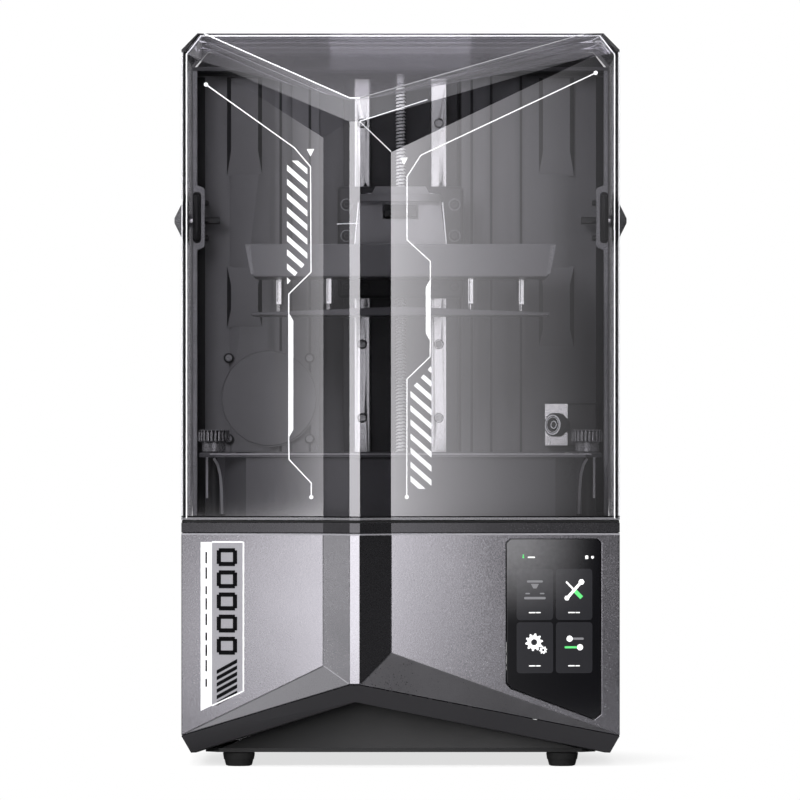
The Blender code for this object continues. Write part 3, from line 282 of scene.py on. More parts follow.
class Shape:
    """A mesh drawn in millimetres, or in metres with unit=1, until it is saved as a named piece."""

    def __init__(self, unit=MM):
        self.bm = bmesh.new()
        self.unit = unit

    def skin(self, rings, closed=False):
        """Bridge rings of points in turn; the two end rings are capped unless the row closes on itself."""
        rings = [[self.bm.verts.new(point) for point in ring] for ring in rings]
        for lower, upper in zip(rings, rings[1:] + rings[:1] if closed else rings[1:]):
            for i in range(len(lower)):
                j = (i + 1) % len(lower)
                self.bm.faces.new((lower[i], lower[j], upper[j], upper[i]))
        if not closed:
            self.bm.faces.new(rings[0][::-1])
            self.bm.faces.new(rings[-1])
        return self

    def prism(self, outline, vector):
        """A closed outline swept along a vector."""
        outline = [Vector(point) for point in outline]
        return self.skin([outline, [point + Vector(vector) for point in outline]])

    def box(self, low, high):
        (x0, y0, z0), (x1, y1, z1) = low, high
        return self.prism([(x0, y0, z0), (x1, y0, z0), (x1, y1, z0), (x0, y1, z0)], (0, 0, z1 - z0))

    def turned(self, profile, start, axis, segments=32, wave=None, closed=False):
        """A turned solid from (along, radius) pairs; wave(angle, index) may scale a ring's radius.

        A closed profile makes a ring with a hole through it.
        """
        axis = Vector(axis).normalized()
        side = axis.orthogonal().normalized()
        rings = []
        for index, (along, radius) in enumerate(profile):
            spokes = []
            for i in range(segments):
                angle = tau * i / segments
                reach = radius * wave(angle, index) if wave else radius
                spokes.append(Vector(start) + axis * along + Matrix.Rotation(angle, 4, axis) @ side * reach)
            rings.append(spokes)
        return self.skin(rings, closed)

    def ring(self, inner, outer, height, start, axis, segments=28, along=0.0):
        profile = [(along, inner), (along + height, inner), (along + height, outer), (along, outer)]
        return self.turned(profile, start, axis, segments, closed=True)

    def screws(self, centres, axis, radius, height):
        """Cap screws: chamfered round heads with a socket sunk into each."""
        profile = [(0.0, radius), (height * 0.75, radius), (height, radius * 0.82), (height, radius * 0.5),
                   (height * 0.35, radius * 0.46)]
        for centre in centres:
            self.turned(profile, centre, axis, 24)
        return self

    def bead(self, start, end, half_width, towards=FORWARD):
        """A thin square bar along an edge, standing proud towards the viewer."""
        start, end, towards = Vector(start), Vector(end), Vector(towards).normalized()
        across = (end - start).normalized().cross(towards).normalized() * half_width
        out = towards * half_width * 0.7
        return self.prism([start - across - out, start + across - out, start + across + out,
                           start - across + out], end - start)

    def fold_bead(self, z, half_width):
        """A bead along the whole folded front at one height."""
        for a, b in zip(FOLD_PLAN, FOLD_PLAN[1:]):
            self.bead((*a, z), (*b, z), half_width)
        return self

    def plate(self, face, outline, lift, thickness):
        """A thin plate raised on a face, from (x, z) points."""
        return self.prism([face.point(x, z, lift) for x, z in outline], face.normal * thickness)

    def save(self, name, material, body="base", bevel=0, segments=2, smooth=35, replaces=None):
        """Close the mesh into a piece that rides on a body; smooth is the crease angle, 0 for flat facets."""
        bm = self.bm
        bmesh.ops.scale(bm, verts=bm.verts, vec=(self.unit,) * 3)
        bmesh.ops.remove_doubles(bm, verts=bm.verts, dist=1e-7)
        bmesh.ops.recalc_face_normals(bm, faces=bm.faces)
        obj = linked(name, bm)
        obj.data.materials.append(FIN.get(material, material))
        if smooth:
            obj.data.shade_smooth()
            obj.data.set_sharp_from_angle(angle=radians(smooth))
        if bevel:
            rounding = obj.modifiers.new("edges", "BEVEL")
            rounding.width = bevel * MM
            rounding.segments = segments
            rounding.limit_method = "ANGLE"
            rounding.angle_limit = radians(min(smooth or 14, 30))
            rounding.harden_normals = smooth > 0
        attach(obj, body)
        if replaces:
            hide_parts(replaces)
        return obj


def repaint(obj, choose):
    """Give each polygon the material that choose(normal, centre in mm) names; None keeps the first one."""
    slots = {None: 0}
    for polygon in obj.data.polygons:
        material = choose(polygon.normal, polygon.center / MM)
        if material not in slots:
            slots[material] = len(obj.data.materials)
            obj.data.materials.append(material)
        polygon.material_index = slots[material]


def welded_copy(node_name):
    """The CAD node's mesh as a shape of flat polygons, with split vertices joined."""
    shape = Shape(unit=1)
    bm = shape.bm
    bm.from_mesh(frame["nodes"][node_name].data)
    bmesh.ops.remove_doubles(bm, verts=bm.verts, dist=2e-6)
    bmesh.ops.dissolve_limit(bm, angle_limit=radians(0.6), verts=bm.verts, edges=bm.edges)
    return shape


def refined(node_name, material, bevel=0.6, segments=2, smooth=35):
    """A copy that stands for a CAD node, with rounded edges and its own finish."""
    body = frame["nodes"][node_name]["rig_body"]
    return welded_copy(node_name).save(
        f"{node_name}_skin", material, body, bevel, segments, smooth, node_name)


def refinish(node_name, material):
    """A new finish on a CAD node whose shape stays as it is."""
    materials = frame["nodes"][node_name].data.materials
    materials.clear()
    materials.append(FIN[material])


def box_mm(node_name):
    """The low and high corners of a CAD node, in millimetres."""
    low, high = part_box(node_name)
    return low / MM, high / MM


def base_of(low, high):
    """The middle of a box's bottom face."""
    return Vector(((low.x + high.x) / 2, (low.y + high.y) / 2, low.z))


class FacePlane:
    """A flat front face of a CAD node, found by its outward normal; x, z and lift are in millimetres."""

    def __init__(self, node_name, normal):
        self.normal = Vector(normal).normalized()
        area = {}
        for polygon in frame["nodes"][node_name].data.polygons:
            if polygon.normal.dot(self.normal) > SAME_WAY:
                depth = round(polygon.center.dot(self.normal) / MM, 1)
                area[depth] = area.get(depth, 0) + polygon.area
        self.depth = max(area, key=area.get)

    def point(self, x, z, lift=0.0):
        n = self.normal
        return Vector((x, (self.depth - n.x * x - n.z * z) / n.y, z)) + n * lift


def stroke(path, half_widths):
    """The outline of a line along (x, z) points, with mitred joints; its half width may vary by point."""
    path = [Vector(p) for p in path]
    if not isinstance(half_widths, (list, tuple)):
        half_widths = [half_widths] * len(path)
    left, right = [], []
    for i, point in enumerate(path):
        before = (point - path[i - 1]).normalized() if i else (path[1] - point).normalized()
        after = (path[i + 1] - point).normalized() if i + 1 < len(path) else before
        tangent = (before + after).normalized()
        across = Vector((-tangent.y, tangent.x)) * half_widths[i] / max(0.3, tangent.dot(after))
        left.append(point + across)
        right.append(point - across)
    return [tuple(p) for p in left + right[::-1]]


def disc(x, z, radius, count=20):
    return [(x + radius * cos(tau * i / count), z + radius * sin(tau * i / count)) for i in range(count)]


def rounded_rectangle(left, low, right, high, radius, count=5):
    points = []
    corners = ((right - radius, high - radius), (left + radius, high - radius), (left + radius, low + radius),
               (right - radius, low + radius))
    for quarter, (cx, cz) in enumerate(corners):
        for i in range(count):
            angle = pi / 2 * (quarter + i / (count - 1))
            points.append((cx + radius * cos(angle), cz + radius * sin(angle)))
    return points


# ---------------- landmarks from the frame

BASE_LOW, BASE_HIGH = box_mm("base_shell")
LID_LOW, LID_HIGH = box_mm("lid_shell")
WALL_LOW, WALL_HIGH = box_mm("inner_wall")
TOWER_LOW, TOWER_HIGH = box_mm("tower_housing")
SCREEN_LOW, SCREEN_HIGH = box_mm("touch_screen")
HALF_WIDTH = BASE_HIGH.x

# The fold's plan, as in the CAD: corner, left fold, ridge band, right fold, corner
CORNER_Y, FOLD_Y, RIDGE_Y = -136, -150, BASE_LOW.y
FOLD_PLAN = [Vector((-HALF_WIDTH, CORNER_Y)), Vector((-57.4, FOLD_Y)), Vector((-37.9, RIDGE_Y)),
             Vector((-30.1, RIDGE_Y)), Vector((-7.1, FOLD_Y)), Vector((HALF_WIDTH, CORNER_Y))]
RIDGE_LEFT_X, RIDGE_RIGHT_X = FOLD_PLAN[2].x, FOLD_PLAN[3].x

# Outward normals of the five upright front faces, from left to right
MAIN_LEFT, SIDE_LEFT, RIDGE, SIDE_RIGHT, MAIN_RIGHT = (
    Vector((b.y - a.y, a.x - b.x, 0)).normalized() for a, b in zip(FOLD_PLAN, FOLD_PLAN[1:]))
SCREEN_FACE = FacePlane("touch_screen", MAIN_RIGHT)


# ---------------- base

def base_cover():
    """The painted cover and the deck's rim, with painted light and shade by facet: a lighter paint on the
    cover's left fold, a darker one on the right fold of both, and a darker one on the cover's upward chin.
    """
    # painted shade: the right fold takes a darker paint
    def rim_painted_shade(normal, _):
        return FIN["paint_shaded_fold"] if normal.dot(SIDE_RIGHT) > SAME_WAY else None

    # painted light on the left fold, painted shade on the chin's upward slopes
    def shell_painted_light_and_shade(normal, centre):
        if normal.dot(SIDE_LEFT) > SAME_WAY:
            return FIN["paint_lit_fold"]
        return FIN["paint_shaded_chin"] if normal.z > 0.3 and normal.y < -0.5 else rim_painted_shade(normal, centre)

    repaint(refined("base_shell", "paint", 0.7, 3, smooth=14), shell_painted_light_and_shade)
    repaint(refined("top_deck", "deck", 0.7, 2, smooth=14), rim_painted_shade)
    # a light bead along the base's top edge: painted highlight
    Shape().fold_bead(BASE_HIGH.z - 0.9, 0.6).save("base_rim_highlight", "label")


def feet():
    for name in (f"foot_{row}_{side}" for row in ("front", "rear") for side, _ in SIDES):
        low, high = box_mm(name)
        height = high.z - low.z
        profile = [(0, 8.2), (0.6, 9.7), (1.4, 10), (height / 2, 10.9), (height / 2, 11.3),
                   (height - 0.6, 12), (height, 11.6)]
        Shape().turned(profile, base_of(low, high), Z_AXIS, 40).save(
            f"{name}_pad", "rubber", replaces=name)


def label():
    """The upright label at the left of the base: grey panel, white strip, outline and plain bars."""
    face = FacePlane("base_shell", MAIN_LEFT)
    left, divide, right, top = -149, -140.6, -117, 168
    foot_left, foot_right = 42, 57

    def foot(x):
        return foot_left + (foot_right - foot_left) / (right - left) * (x - left)

    corners = [(divide, top), (right, top), (right, foot(right)), (divide, foot(divide))]
    shape = Shape().plate(face, [(left, foot(left)), corners[3], corners[0], (left, top)], 0.1, 0.25)
    for a, b in zip(corners, corners[1:]):
        shape.plate(face, stroke([a, b], 0.55), 0.12, 0.25)
    shape.save("label_strip", "print")
    Shape().plate(face, corners[::-1], 0.05, 0.2).save("label_panel", "label")

    bars = Shape()
    bar_left, bar_right = -137, -121.7
    for i in range(6):
        low = 46 + i * 4.7
        bar = [(bar_left, low), (bar_right, low + 8.5), (bar_right, low + 11.4), (bar_left, low + 2.9)]
        bars.plate(face, bar, 0.24, 0.12)
    inset = 1.6
    for i in range(5):
        low = 85.6 + i * 16.5
        left_x, right_x, high = bar_left + inset, bar_right - inset, low + 10.2
        block = [(left_x, low), (right_x, low), (right_x, high), (left_x, high)]
        for a, b in zip(block, block[1:] + block[:1]):
            bars.plate(face, stroke([a, b], inset), 0.24, 0.12)
    bars.save("label_bars", "ink")

    marks, x = Shape(), -144.8
    for i in range(9):
        low = 60 + i * 11.5
        marks.plate(face, stroke([(x, low), (x, low + (8.5 if i % 3 else 6))], 0.6), 0.36, 0.08)
    marks.save("label_marks", "ink")


# ---------------- touch screen

def gear(x, z, outer, inner, teeth):
    points = []
    for i in range(teeth * 4):
        radius = outer if i % 4 in (1, 2) else inner
        angle = tau * (i - 0.5) / (teeth * 4)
        points.append((x + radius * cos(angle), z + radius * sin(angle)))
    return points


def capsule(x, z, half_length, radius):
    return rounded_rectangle(x - half_length - radius, z - radius, x + half_length + radius, z + radius,
                             radius * 0.999)


def display():
    """A home page of four tiles with plain pictures; short bars stand where words would be."""
    left, right = SCREEN_LOW.x + 21.2, SCREEN_LOW.x + 50.5
    low, high = 89.2, 128.9
    places = [(x, z) for x in (left, right) for z in (low, high)]
    status_x, status_z = SCREEN_LOW.x + 12.5, SCREEN_HIGH.z - 13.4
    end_x = SCREEN_HIGH.x
    tiles = [rounded_rectangle(x - 13.6, z - 19, x + 13.6, z + 19, 2.4) for x, z in places]
    words = [capsule(x + shift, z - 13.5, width, 0.42)
             for x, z in places for shift, width in ((-2, 2.1), (2.6, 1.3))]
    status = [capsule(status_x + 6, status_z, 2.2, 0.5),
              rounded_rectangle(end_x - 11.5, status_z - 1.3, end_x - 9.3, status_z + 1.3, 0.4),
              disc(end_x - 6.2, status_z, 1.1, 12)]
    z = high + 3.5
    printer = [capsule(left, z + 6.2, 5.2, 0.8), capsule(left, z - 6.2, 7.2, 0.9),
               [(left - 3, z + 4.4), (left + 3, z + 4.4), (left + 1.2, z + 1), (left - 1.2, z + 1)],
               capsule(left - 5.4, z - 2.8, 1.2, 0.5), capsule(left + 5.4, z - 2.8, 1.2, 0.5)]
    tools = [stroke([(right - 5, z - 6), (right + 5, z + 5.4)], 1.1), disc(right + 5.4, z + 5.8, 2.3, 6),
             disc(right - 5.4, z - 6.2, 2.0, 6), stroke([(right - 6, z + 6), (right - 0.8, z + 0.6)], 0.7)]
    handle = stroke([(right + 0.6, z - 0.8), (right + 5.6, z - 6)], 1.5)
    z = low + 3.5
    gears = [gear(left - 0.6, z + 0.6, 6.6, 5.0, 10), gear(left + 6.2, z - 5.2, 3.0, 2.2, 8)]
    hubs = [disc(left - 0.6, z + 0.6, 2.3), disc(left + 6.2, z - 5.2, 0.9)]
    sliders = [disc(right - 3.4, z + 3.2, 2.3), disc(right + 4.4, z - 3.2, 2.3)]
    greens = [handle, capsule(right - 2, z - 3.2, 4.4, 0.8), capsule(status_x, status_z, 0.01, 0.7),
              stroke([(status_x, status_z), (status_x, status_z + 2.2)], 0.35)]
    track = capsule(right + 2, z + 3.2, 4.4, 0.8)
    for name, key, outlines, lift in (
            ("tiles", "tile", tiles, 0.02), ("marks", "icon", words + status + tools + gears + sliders, 0.10),
            ("hubs", "tile", hubs, 0.17), ("dim", "icon_dim", printer + [track], 0.08),
            ("greens", "icon_green", greens, 0.09)):
        shape = Shape()
        for outline in outlines:
            shape.plate(SCREEN_FACE, outline, lift, 0.05)
        shape.save(f"display_{name}", key)


# ---------------- lid

def lid_panes():
    """The lid's panes by facet: a main pane, the inside, and the small facets round the ridge.

    One acrylic, with tint, mirror and cloud set facet by facet as painted light and shade: the folds, the
    cheeks and the left crown are tinted darker than the main panes, the right-hand fold and cheek darkest,
    and the cloud on the ridge and the crowns is a painted highlight.
    """
    tint, corner = (0.80, 0.795, 0.81), HALF_WIDTH * 0.9
    return {
        "side": smoky("lid_side", tint, 0.10, edge_on=0.3),
        "inside": smoky("lid_inside", (0.97, 0.97, 0.975), 0.004),
        "rear": smoky("lid_rear", (0.30, 0.295, 0.31), 0.06, 0.05, (0.2, 0.2, 0.21)),
        "main_left": smoky("lid_main_left", tint, 0.26),
        # darker tints on the folds and cheeks: painted shade; cloud on the ridge and crowns: painted
        # highlight
        "fold_left": smoky("lid_fold_left", (0.62, 0.615, 0.63), 0.03),
        "ridge": smoky("lid_ridge", tint, 0.16, 0.11),
        "fold_right": smoky("lid_fold_right", (0.34, 0.34, 0.35), 0.03),
        "main_right": smoky("lid_main_right", tint, 0.30),
        "brow": smoky("lid_brow", tint, 0.04),
        "crown_left": smoky("lid_crown_left", (0.72, 0.715, 0.73), 0.11, 0.12,
                            fade=(RIDGE_LEFT_X, -corner, 0.02)),
        "crown_right": smoky("lid_crown_right", tint, 0.07, 0.06, fade=(RIDGE_RIGHT_X, corner, 0.05)),
        "cheek_left": smoky("lid_cheek_left", (0.70, 0.695, 0.71), 0.03),
        "cheek_right": smoky("lid_cheek_right", (0.30, 0.30, 0.31), 0.015),
        "roof": smoky("lid_roof", (0.35, 0.35, 0.36), 0.05, 0.55, (0.36, 0.355, 0.385)),
    }


def lid_facet(normal, centre):
    """Which pane a lid polygon belongs to, by its outward normal and place."""
    ridge_rise = 0.555  # the upward part of the normal on the ridge's short slope; the brow's differs
    if normal.dot(centre - (LID_LOW + LID_HIGH) / 2) < 0:
        return "inside"
    if normal.z > 0.9 and centre.y > LID_LOW.y * 0.7:
        return "roof"
    if normal.y > 0.5 or (abs(normal.x) > 0.5 and normal.z > 0.3):
        return "rear"
    for name, direction in (("main_left", MAIN_LEFT), ("fold_left", SIDE_LEFT), ("ridge", RIDGE),
                            ("fold_right", SIDE_RIGHT), ("main_right", MAIN_RIGHT)):
        if normal.dot(direction) > SAME_WAY:
            return name
    if abs(normal.x) > 0.2 and normal.z < -0.2 and normal.y < -0.3:
        return "cheek_left" if normal.x < 0 else "cheek_right"
    if normal.y < -0.3 and normal.z > 0.3 and abs(centre.x) < HALF_WIDTH * 0.9:
        if abs(normal.x) < 0.01:
            return "ridge" if abs(normal.z - ridge_rise) < 0.02 else "brow"
        return "crown_left" if centre.x < RIDGE_LEFT_X else "crown_right"
    return "side"


def lid_cover():
    """The smoky shell, its seal and the pointed covers over its hinges."""
    panes = lid_panes()
    shape = welded_copy("lid_shell")
    inside_walls = [edge for edge in shape.bm.edges
                    if all(abs(face.normal.x) > 0.99 for face in edge.link_faces)]
    bmesh.ops.dissolve_limit(shape.bm, angle_limit=radians(5), verts=[], edges=inside_walls)
    obj = shape.save("lid_cover", panes["side"], "lid", 0.9, 3, 0, "lid_shell")
    repaint(obj, lambda normal, centre: panes[lid_facet(normal, centre)])
    refined("lid_seal", "rubber", 0.3, 1)
    for side, sign in SIDES:
        name = f"hinge_cap_{side}"
        low, high = box_mm(name)
        centre = (low + high) / 2
        Shape().turned([(0, 19.5), (1.4, 20.5), (10.6, 2)], (sign * (HALF_WIDTH + 0.1), centre.y, centre.z),
                       sign * X_AXIS, 8).save(f"hinge_cap_cover_{side}", "cap", "lid", 0.5)
        refined(name, "cap", 0.6, 3)


def lid_edges():
    """Painted highlights and dark lines along the lid's edges: the brow's V, the roof's front edge, the front
    corners and the sill. The light beads are painted highlights where the polished edges catch light; the
    dark beads at the front corners are painted dark reflections.
    """
    up_front, foot = (0, -0.8, 0.6), LID_LOW.z + 1
    brow_left, brow_right = (-37.9, -152.8, 498.4), (-30.1, -152.8, 498.4)
    lights, darks = Shape(), Shape()
    lights.bead((-147, -108.6, 548.2), brow_left, 0.4, up_front)
    lights.bead(brow_left, brow_right, 0.45, up_front)
    lights.bead((-150, -110, 546.6), (150, -110, 546.6), 0.4)
    lights.bead((-29.9, -164.4, 480.2), (-7, -150.1, 458.6), 0.35)
    lights.bead((-30, -164.3, 480.8), (20, -159.5, 497), 0.3)
    for _, sign in SIDES:
        x, y = sign * 159.6, CORNER_Y - 0.8
        lights.bead((x, y, foot), (x, y, 531.5), 0.4)
        lights.bead((sign * 163, CORNER_Y, foot), (sign * 163, CORNER_Y, 533), 0.28)
        lights.bead((x, y, 531.5), (sign * 149.4, -111.5, 546.4), 0.45)
        x, y = sign * 161.4, CORNER_Y - 0.4
        darks.bead((x, y, foot), (x, y, 532.5), 0.65)
        darks.bead((x, y, 532.5), (sign * 151, -112.4, 547.6), 0.5)
    # light beads: painted highlights; dark beads at the corners: painted dark reflections
    lights.save("lid_edge_highlights", "edge", "lid")
    darks.save("lid_edge_dark_reflections", "ink", "lid")
    # a softer painted highlight along the right half of the brow's V, and a painted highlight along the sill
    Shape().bead(brow_right, (138, -108.6, 548.2), 0.36, up_front).save("lid_edge_soft_highlight", "label", "lid")
    Shape().fold_bead(LID_LOW.z + 0.9, 0.8).save("lid_sill_highlight", "cap", "lid")
    Shape().fold_bead(LID_LOW.z + 2.4, 0.45).save("lid_sill_line", "ink", "lid")


def lid_linings():
    """What lies under the roof: a frosted strip, smoky liners beside it, a rear strip and a dark baffle."""
    half, front, rear, ceiling = 53.6, -103, 142, LID_HIGH.z - 3.2
    # both glow faintly through lift: a painted glow, standing for lamp light let through the roof
    frosted = smoky("frosted_strip", (0.80, 0.80, 0.81), 0.0, 0.9, (0.80, 0.79, 0.83), edge_on=0, lift=0.24)
    clouded = smoky("smoky_liner", (0.6, 0.6, 0.61), 0.0, 0.9, (0.45, 0.445, 0.47), edge_on=0, lift=0.13)
    Shape().box((-half, front, ceiling - 0.9), (half, rear, ceiling - 0.1)).save(
        "lid_diffuser", frosted, "lid")
    liner = Shape()
    for _, sign in SIDES:
        near, far = sorted((sign * (half + 0.2), sign * 146))
        liner.box((near, front, ceiling - 0.8), (far, rear, ceiling - 0.1))
    liner.save("lid_liner", clouded, "lid")
    low, knee, crest = TOWER_HIGH.z + 1.6, 532.3, ceiling - 0.2
    Shape().box((-half * 1.03, 144.5, low), (half * 1.03, 145.5, ceiling - 0.4)).save(
        "lid_rear_strip", "cap", "lid")
    outline = [(-160.2, low), (160.2, low), (160.2, knee), (150.6, crest), (-150.6, crest), (-160.2, knee)]
    Shape().prism([(x, 146, z) for x, z in outline], (0, 1.5, 0)).save("lid_baffle", "black", "lid")


def lid_print():
    """White printed traces and hatching on the lid's two main faces."""
    thin, thick = 0.42, 1.85
    left = [(-145, 509), (-79, 461.6), (-67, 447.4), (-66.6, 369), (-83.2, 352.7), (-83.2, 338)]
    left_bar = [(-83.2, 338), (-81.7, 332.5), (-81.7, 252), (-83.2, 246.5)]
    left_tail = [(-83.2, 246.5), (-83, 229.6), (-66.4, 212), (-66.4, 201.5)]
    left_hatch = [(-84.5, 359.5), (-69.4, 377), (-69.4, 446), (-76.5, 452), (-84.5, 452)]
    right = [(145.5, 517.7), (15.1, 456), (4.8, 440), (4.8, 393), (22.2, 377), (22.2, 363)]
    right_bar = [(22.2, 363), (20.6, 357.5), (20.6, 323.7), (22.2, 318.2)]
    right_tail = [(22.2, 318.2), (22, 306), (4.8, 289.4), (4.6, 201.6)]
    right_hatch = [(7.4, 207.7), (23, 207.7), (23, 299.6), (7.4, 281.4)]
    for side, normal, (top, bar, tail), (x, z), hatch_top, hatch in (
            ("left", MAIN_LEFT, (left, left_bar, left_tail), (-67, 455), 449, left_hatch),
            ("right", MAIN_RIGHT, (right, right_bar, right_tail), (2.6, 448.6), 301.5, right_hatch)):
        face = FacePlane("lid_shell", normal)
        trace, stripes = Shape(), Shape()
        for run, widths in ((top, thin), (bar, (thin, thick, thick, thin)), (tail, thin)):
            trace.plate(face, stroke(run, widths), 0.05, 0.12)
        for end in (top[0], tail[-1]):
            trace.plate(face, disc(*end, 1.55), 0.06, 0.13)
        trace.plate(face, [(x, z), (x + 2.8, z + 5.6), (x - 2.8, z + 5.6)], 0.05, 0.12)
        trace.save(f"lid_trace_{side}", "print", "lid")
        for stripe in hatching(hatch_top, hatch):
            stripes.plate(face, stripe, 0.05, 0.12)
        stripes.save(f"lid_hatch_{side}", "print", "lid")


def hatching(top, outline):
    """Parallel stripes that slope down to the right, clipped to an outline of (x, z) points."""
    left, right = min(x for x, _ in outline), max(x for x, _ in outline)
    pitch, width, drop = 10.5, 4.4, (right - left) * 0.88
    for i in range(-2, 12):
        z = top - i * pitch
        whole = [(left, z - width), (right, z - drop - width), (right, z - drop), (left, z)]
        stripe = clipped(whole, outline)
        if len(stripe) > 2:
            yield stripe


def clipped(shape, outline):
    """The part of a convex shape that lies inside a convex anticlockwise outline."""
    for (ax, az), (bx, bz) in zip(outline, outline[1:] + outline[:1]):
        kept = []
        for (x0, z0), (x1, z1) in zip(shape, shape[1:] + shape[:1]):
            side0 = (bx - ax) * (z0 - az) - (bz - az) * (x0 - ax)
            side1 = (bx - ax) * (z1 - az) - (bz - az) * (x1 - ax)
            if side0 >= 0:
                kept.append((x0, z0))
            if (side0 >= 0) != (side1 >= 0):
                t = side0 / (side0 - side1)
                kept.append((x0 + t * (x1 - x0), z0 + t * (z1 - z0)))
        shape = kept
        if len(shape) < 3:
            break
    return shape


# ---------------- tower

def tower():
    """The housing, the ribbed wall with its shaded rib flanks, and the rails with their bolts."""
    def rib_flank(normal, centre):
        x = centre.x
        upright = normal.y < -0.3 and abs(normal.x) > 0.5
        return FIN["shade"] if upright and (x * normal.x > 0 and abs(x) < 96 or 44 < x < 48) else None

    refined("tower_housing", "tower", 1.2, 3)
    repaint(refined("inner_wall", "wall", 0), rib_flank)
    refined("rail_spine", "dark_metal")
    for side, _ in SIDES:
        refined(f"rail_{side}", "steel", 0.4)
        low, high = box_mm(f"rail_{side}")
        x, rims = (low.x + high.x) / 2, Shape()
        heights = [260 + 56.75 * i for i in range(5)]  # over the CAD's bolt holes
        Shape().screws([(x, low.y + 3.4, z) for z in heights], FORWARD, 2.7, 3).save(
            f"rail_bolts_{side}", "thread")
        # a near-black ring round each bolt: painted shade
        for z in heights:
            rims.ring(3.2, 3.75, 0.7, (x, low.y + 0.4, z), FORWARD)
        rims.save(f"rail_bolt_shade_rims_{side}", "ink")


def wall_panels():
    """Raised pads on the inner wall: tall at the top and short low down, with shaded slanting sides."""
    outer, inner, rise, y = 13.6, 10.4, 3.2, WALL_LOW.y + 0.2
    for side, sign, low_end in (("left", -1, 329.5), ("right", 1, 314.5)):
        x, shape = sign * 120.3, Shape()
        for high, low, knee_high, knee_low in ((WALL_HIGH.z - 1, 447, WALL_HIGH.z - 2, 466),
                                               (377, low_end, 362.5, low_end + 14)):
            ends = ((outer, y, high, low), (inner, y - rise, knee_high, knee_low))
            shape.skin([[(x - half, depth, top), (x + half, depth, top), (x + half, depth, bottom),
                         (x - half, depth, bottom)] for half, depth, top, bottom in ends])
        pads = shape.save(f"wall_pads_{side}", "wall")
        repaint(pads, lambda normal, _: FIN["shade"] if abs(normal.x) > 0.4 else None)


def filter_cover():
    """The round cover over the chamber fan, with a fine rim and four screws."""
    low, high = box_mm("chamber_fan_frame")
    x, y, z = (low.x + high.x) / 2 - 3.4, WALL_LOW.y + 0.1, (low.z + high.z) / 2
    profile = [(0, 37.6), (1, 37.6), (1, 37.1), (0.5, 36.9), (0.5, 36.5), (1.2, 36.3), (1.4, 35.9)]
    Shape().turned(profile, (x, y, z), FORWARD, 72).save("filter_cover", "wall", smooth=20)
    spots = [(x + sx * 31.2, y - 0.2, z + sz * 31.2) for sx, sz in CORNERS]
    Shape().screws(spots, FORWARD, 2.6, 2.4).save("filter_screws", "cap")
    # a near-black ring round each screw: painted shade
    rim, rims = [(0, 2.7), (1.6, 2.7), (1.9, 3.2), (1.6, 3.9), (0, 3.9)], Shape()
    for spot in spots:
        rims.turned(rim, spot, FORWARD, 28, closed=True)
    rims.save("filter_screw_shade_rims", "shade")


def hinge_details():
    """The hinge barrels, their frames on the tower's front edges, and their screws."""
    y, low_z, high_z = TOWER_LOW.y, TOWER_LOW.z + 2, TOWER_HIGH.z - 3
    inner, edge, outer = 150.4, 156.2, 159.8
    for side, sign in SIDES:
        refined(f"hinge_bracket_{side}", "black", 0.5)
        refinish(f"hinge_pin_{side}", "steel")
        low, high = box_mm(f"hinge_bracket_{side}")
        z = (low.z + high.z) / 2

        def across(near, far):
            return sorted((sign * near, sign * far))

        outline = [(edge, low_z), (outer, low_z), (outer, high_z), (edge, high_z), (edge, z + 27),
                   (inner + 1, z + 25), (inner, z + 23.5), (inner, z - 19.5), (inner + 1, z - 21),
                   (edge, z - 23)]
        Shape().prism([(sign * a, y + 0.2, b) for a, b in outline], (0, -2.6, 0)).save(
            f"hinge_frame_{side}", "cap", bevel=0.6)
        # a near-black plate in the slot: painted shade
        slot = rounded_rectangle(153.4, z - 17.6, 159.7, z + 21.8, 2.6)
        Shape().prism([(sign * a, y - 2.2, b) for a, b in slot], (0, -0.5, 0)).save(
            f"hinge_slot_shade_{side}", "shade")
        # a near-black strip on the wall beside the tower's edge: painted shade in the gap
        near, far = across(150.9, 156.6)
        Shape().box((near, WALL_LOW.y + 1.9, WALL_LOW.z + 1), (far, WALL_LOW.y + 2.8, WALL_HIGH.z - 1)).save(
            f"wall_gap_shade_{side}", "shade")
        barrel = [(0, 0.8), (0.5, 1.7), (1.4, 2.2), (33, 2.2), (33.9, 1.7), (34.4, 0.8)]
        Shape().turned(barrel, (sign * 156.8, y - 3.6, z - 15), Z_AXIS, 28).save(
            f"hinge_barrel_{side}", "black")
        spots = [(sign * 156.5, y + 6, z + lift) for lift in (-13.5, 0, 13.5)]
        near, far = across(140, 152)
        screws = Shape().screws(spots, -sign * X_AXIS, 2.6, 9)
        screws.box((near, y + 4.5, z - 1.7), (far, y + 7.5, z + 1.7)).save(f"hinge_screws_{side}", "black")


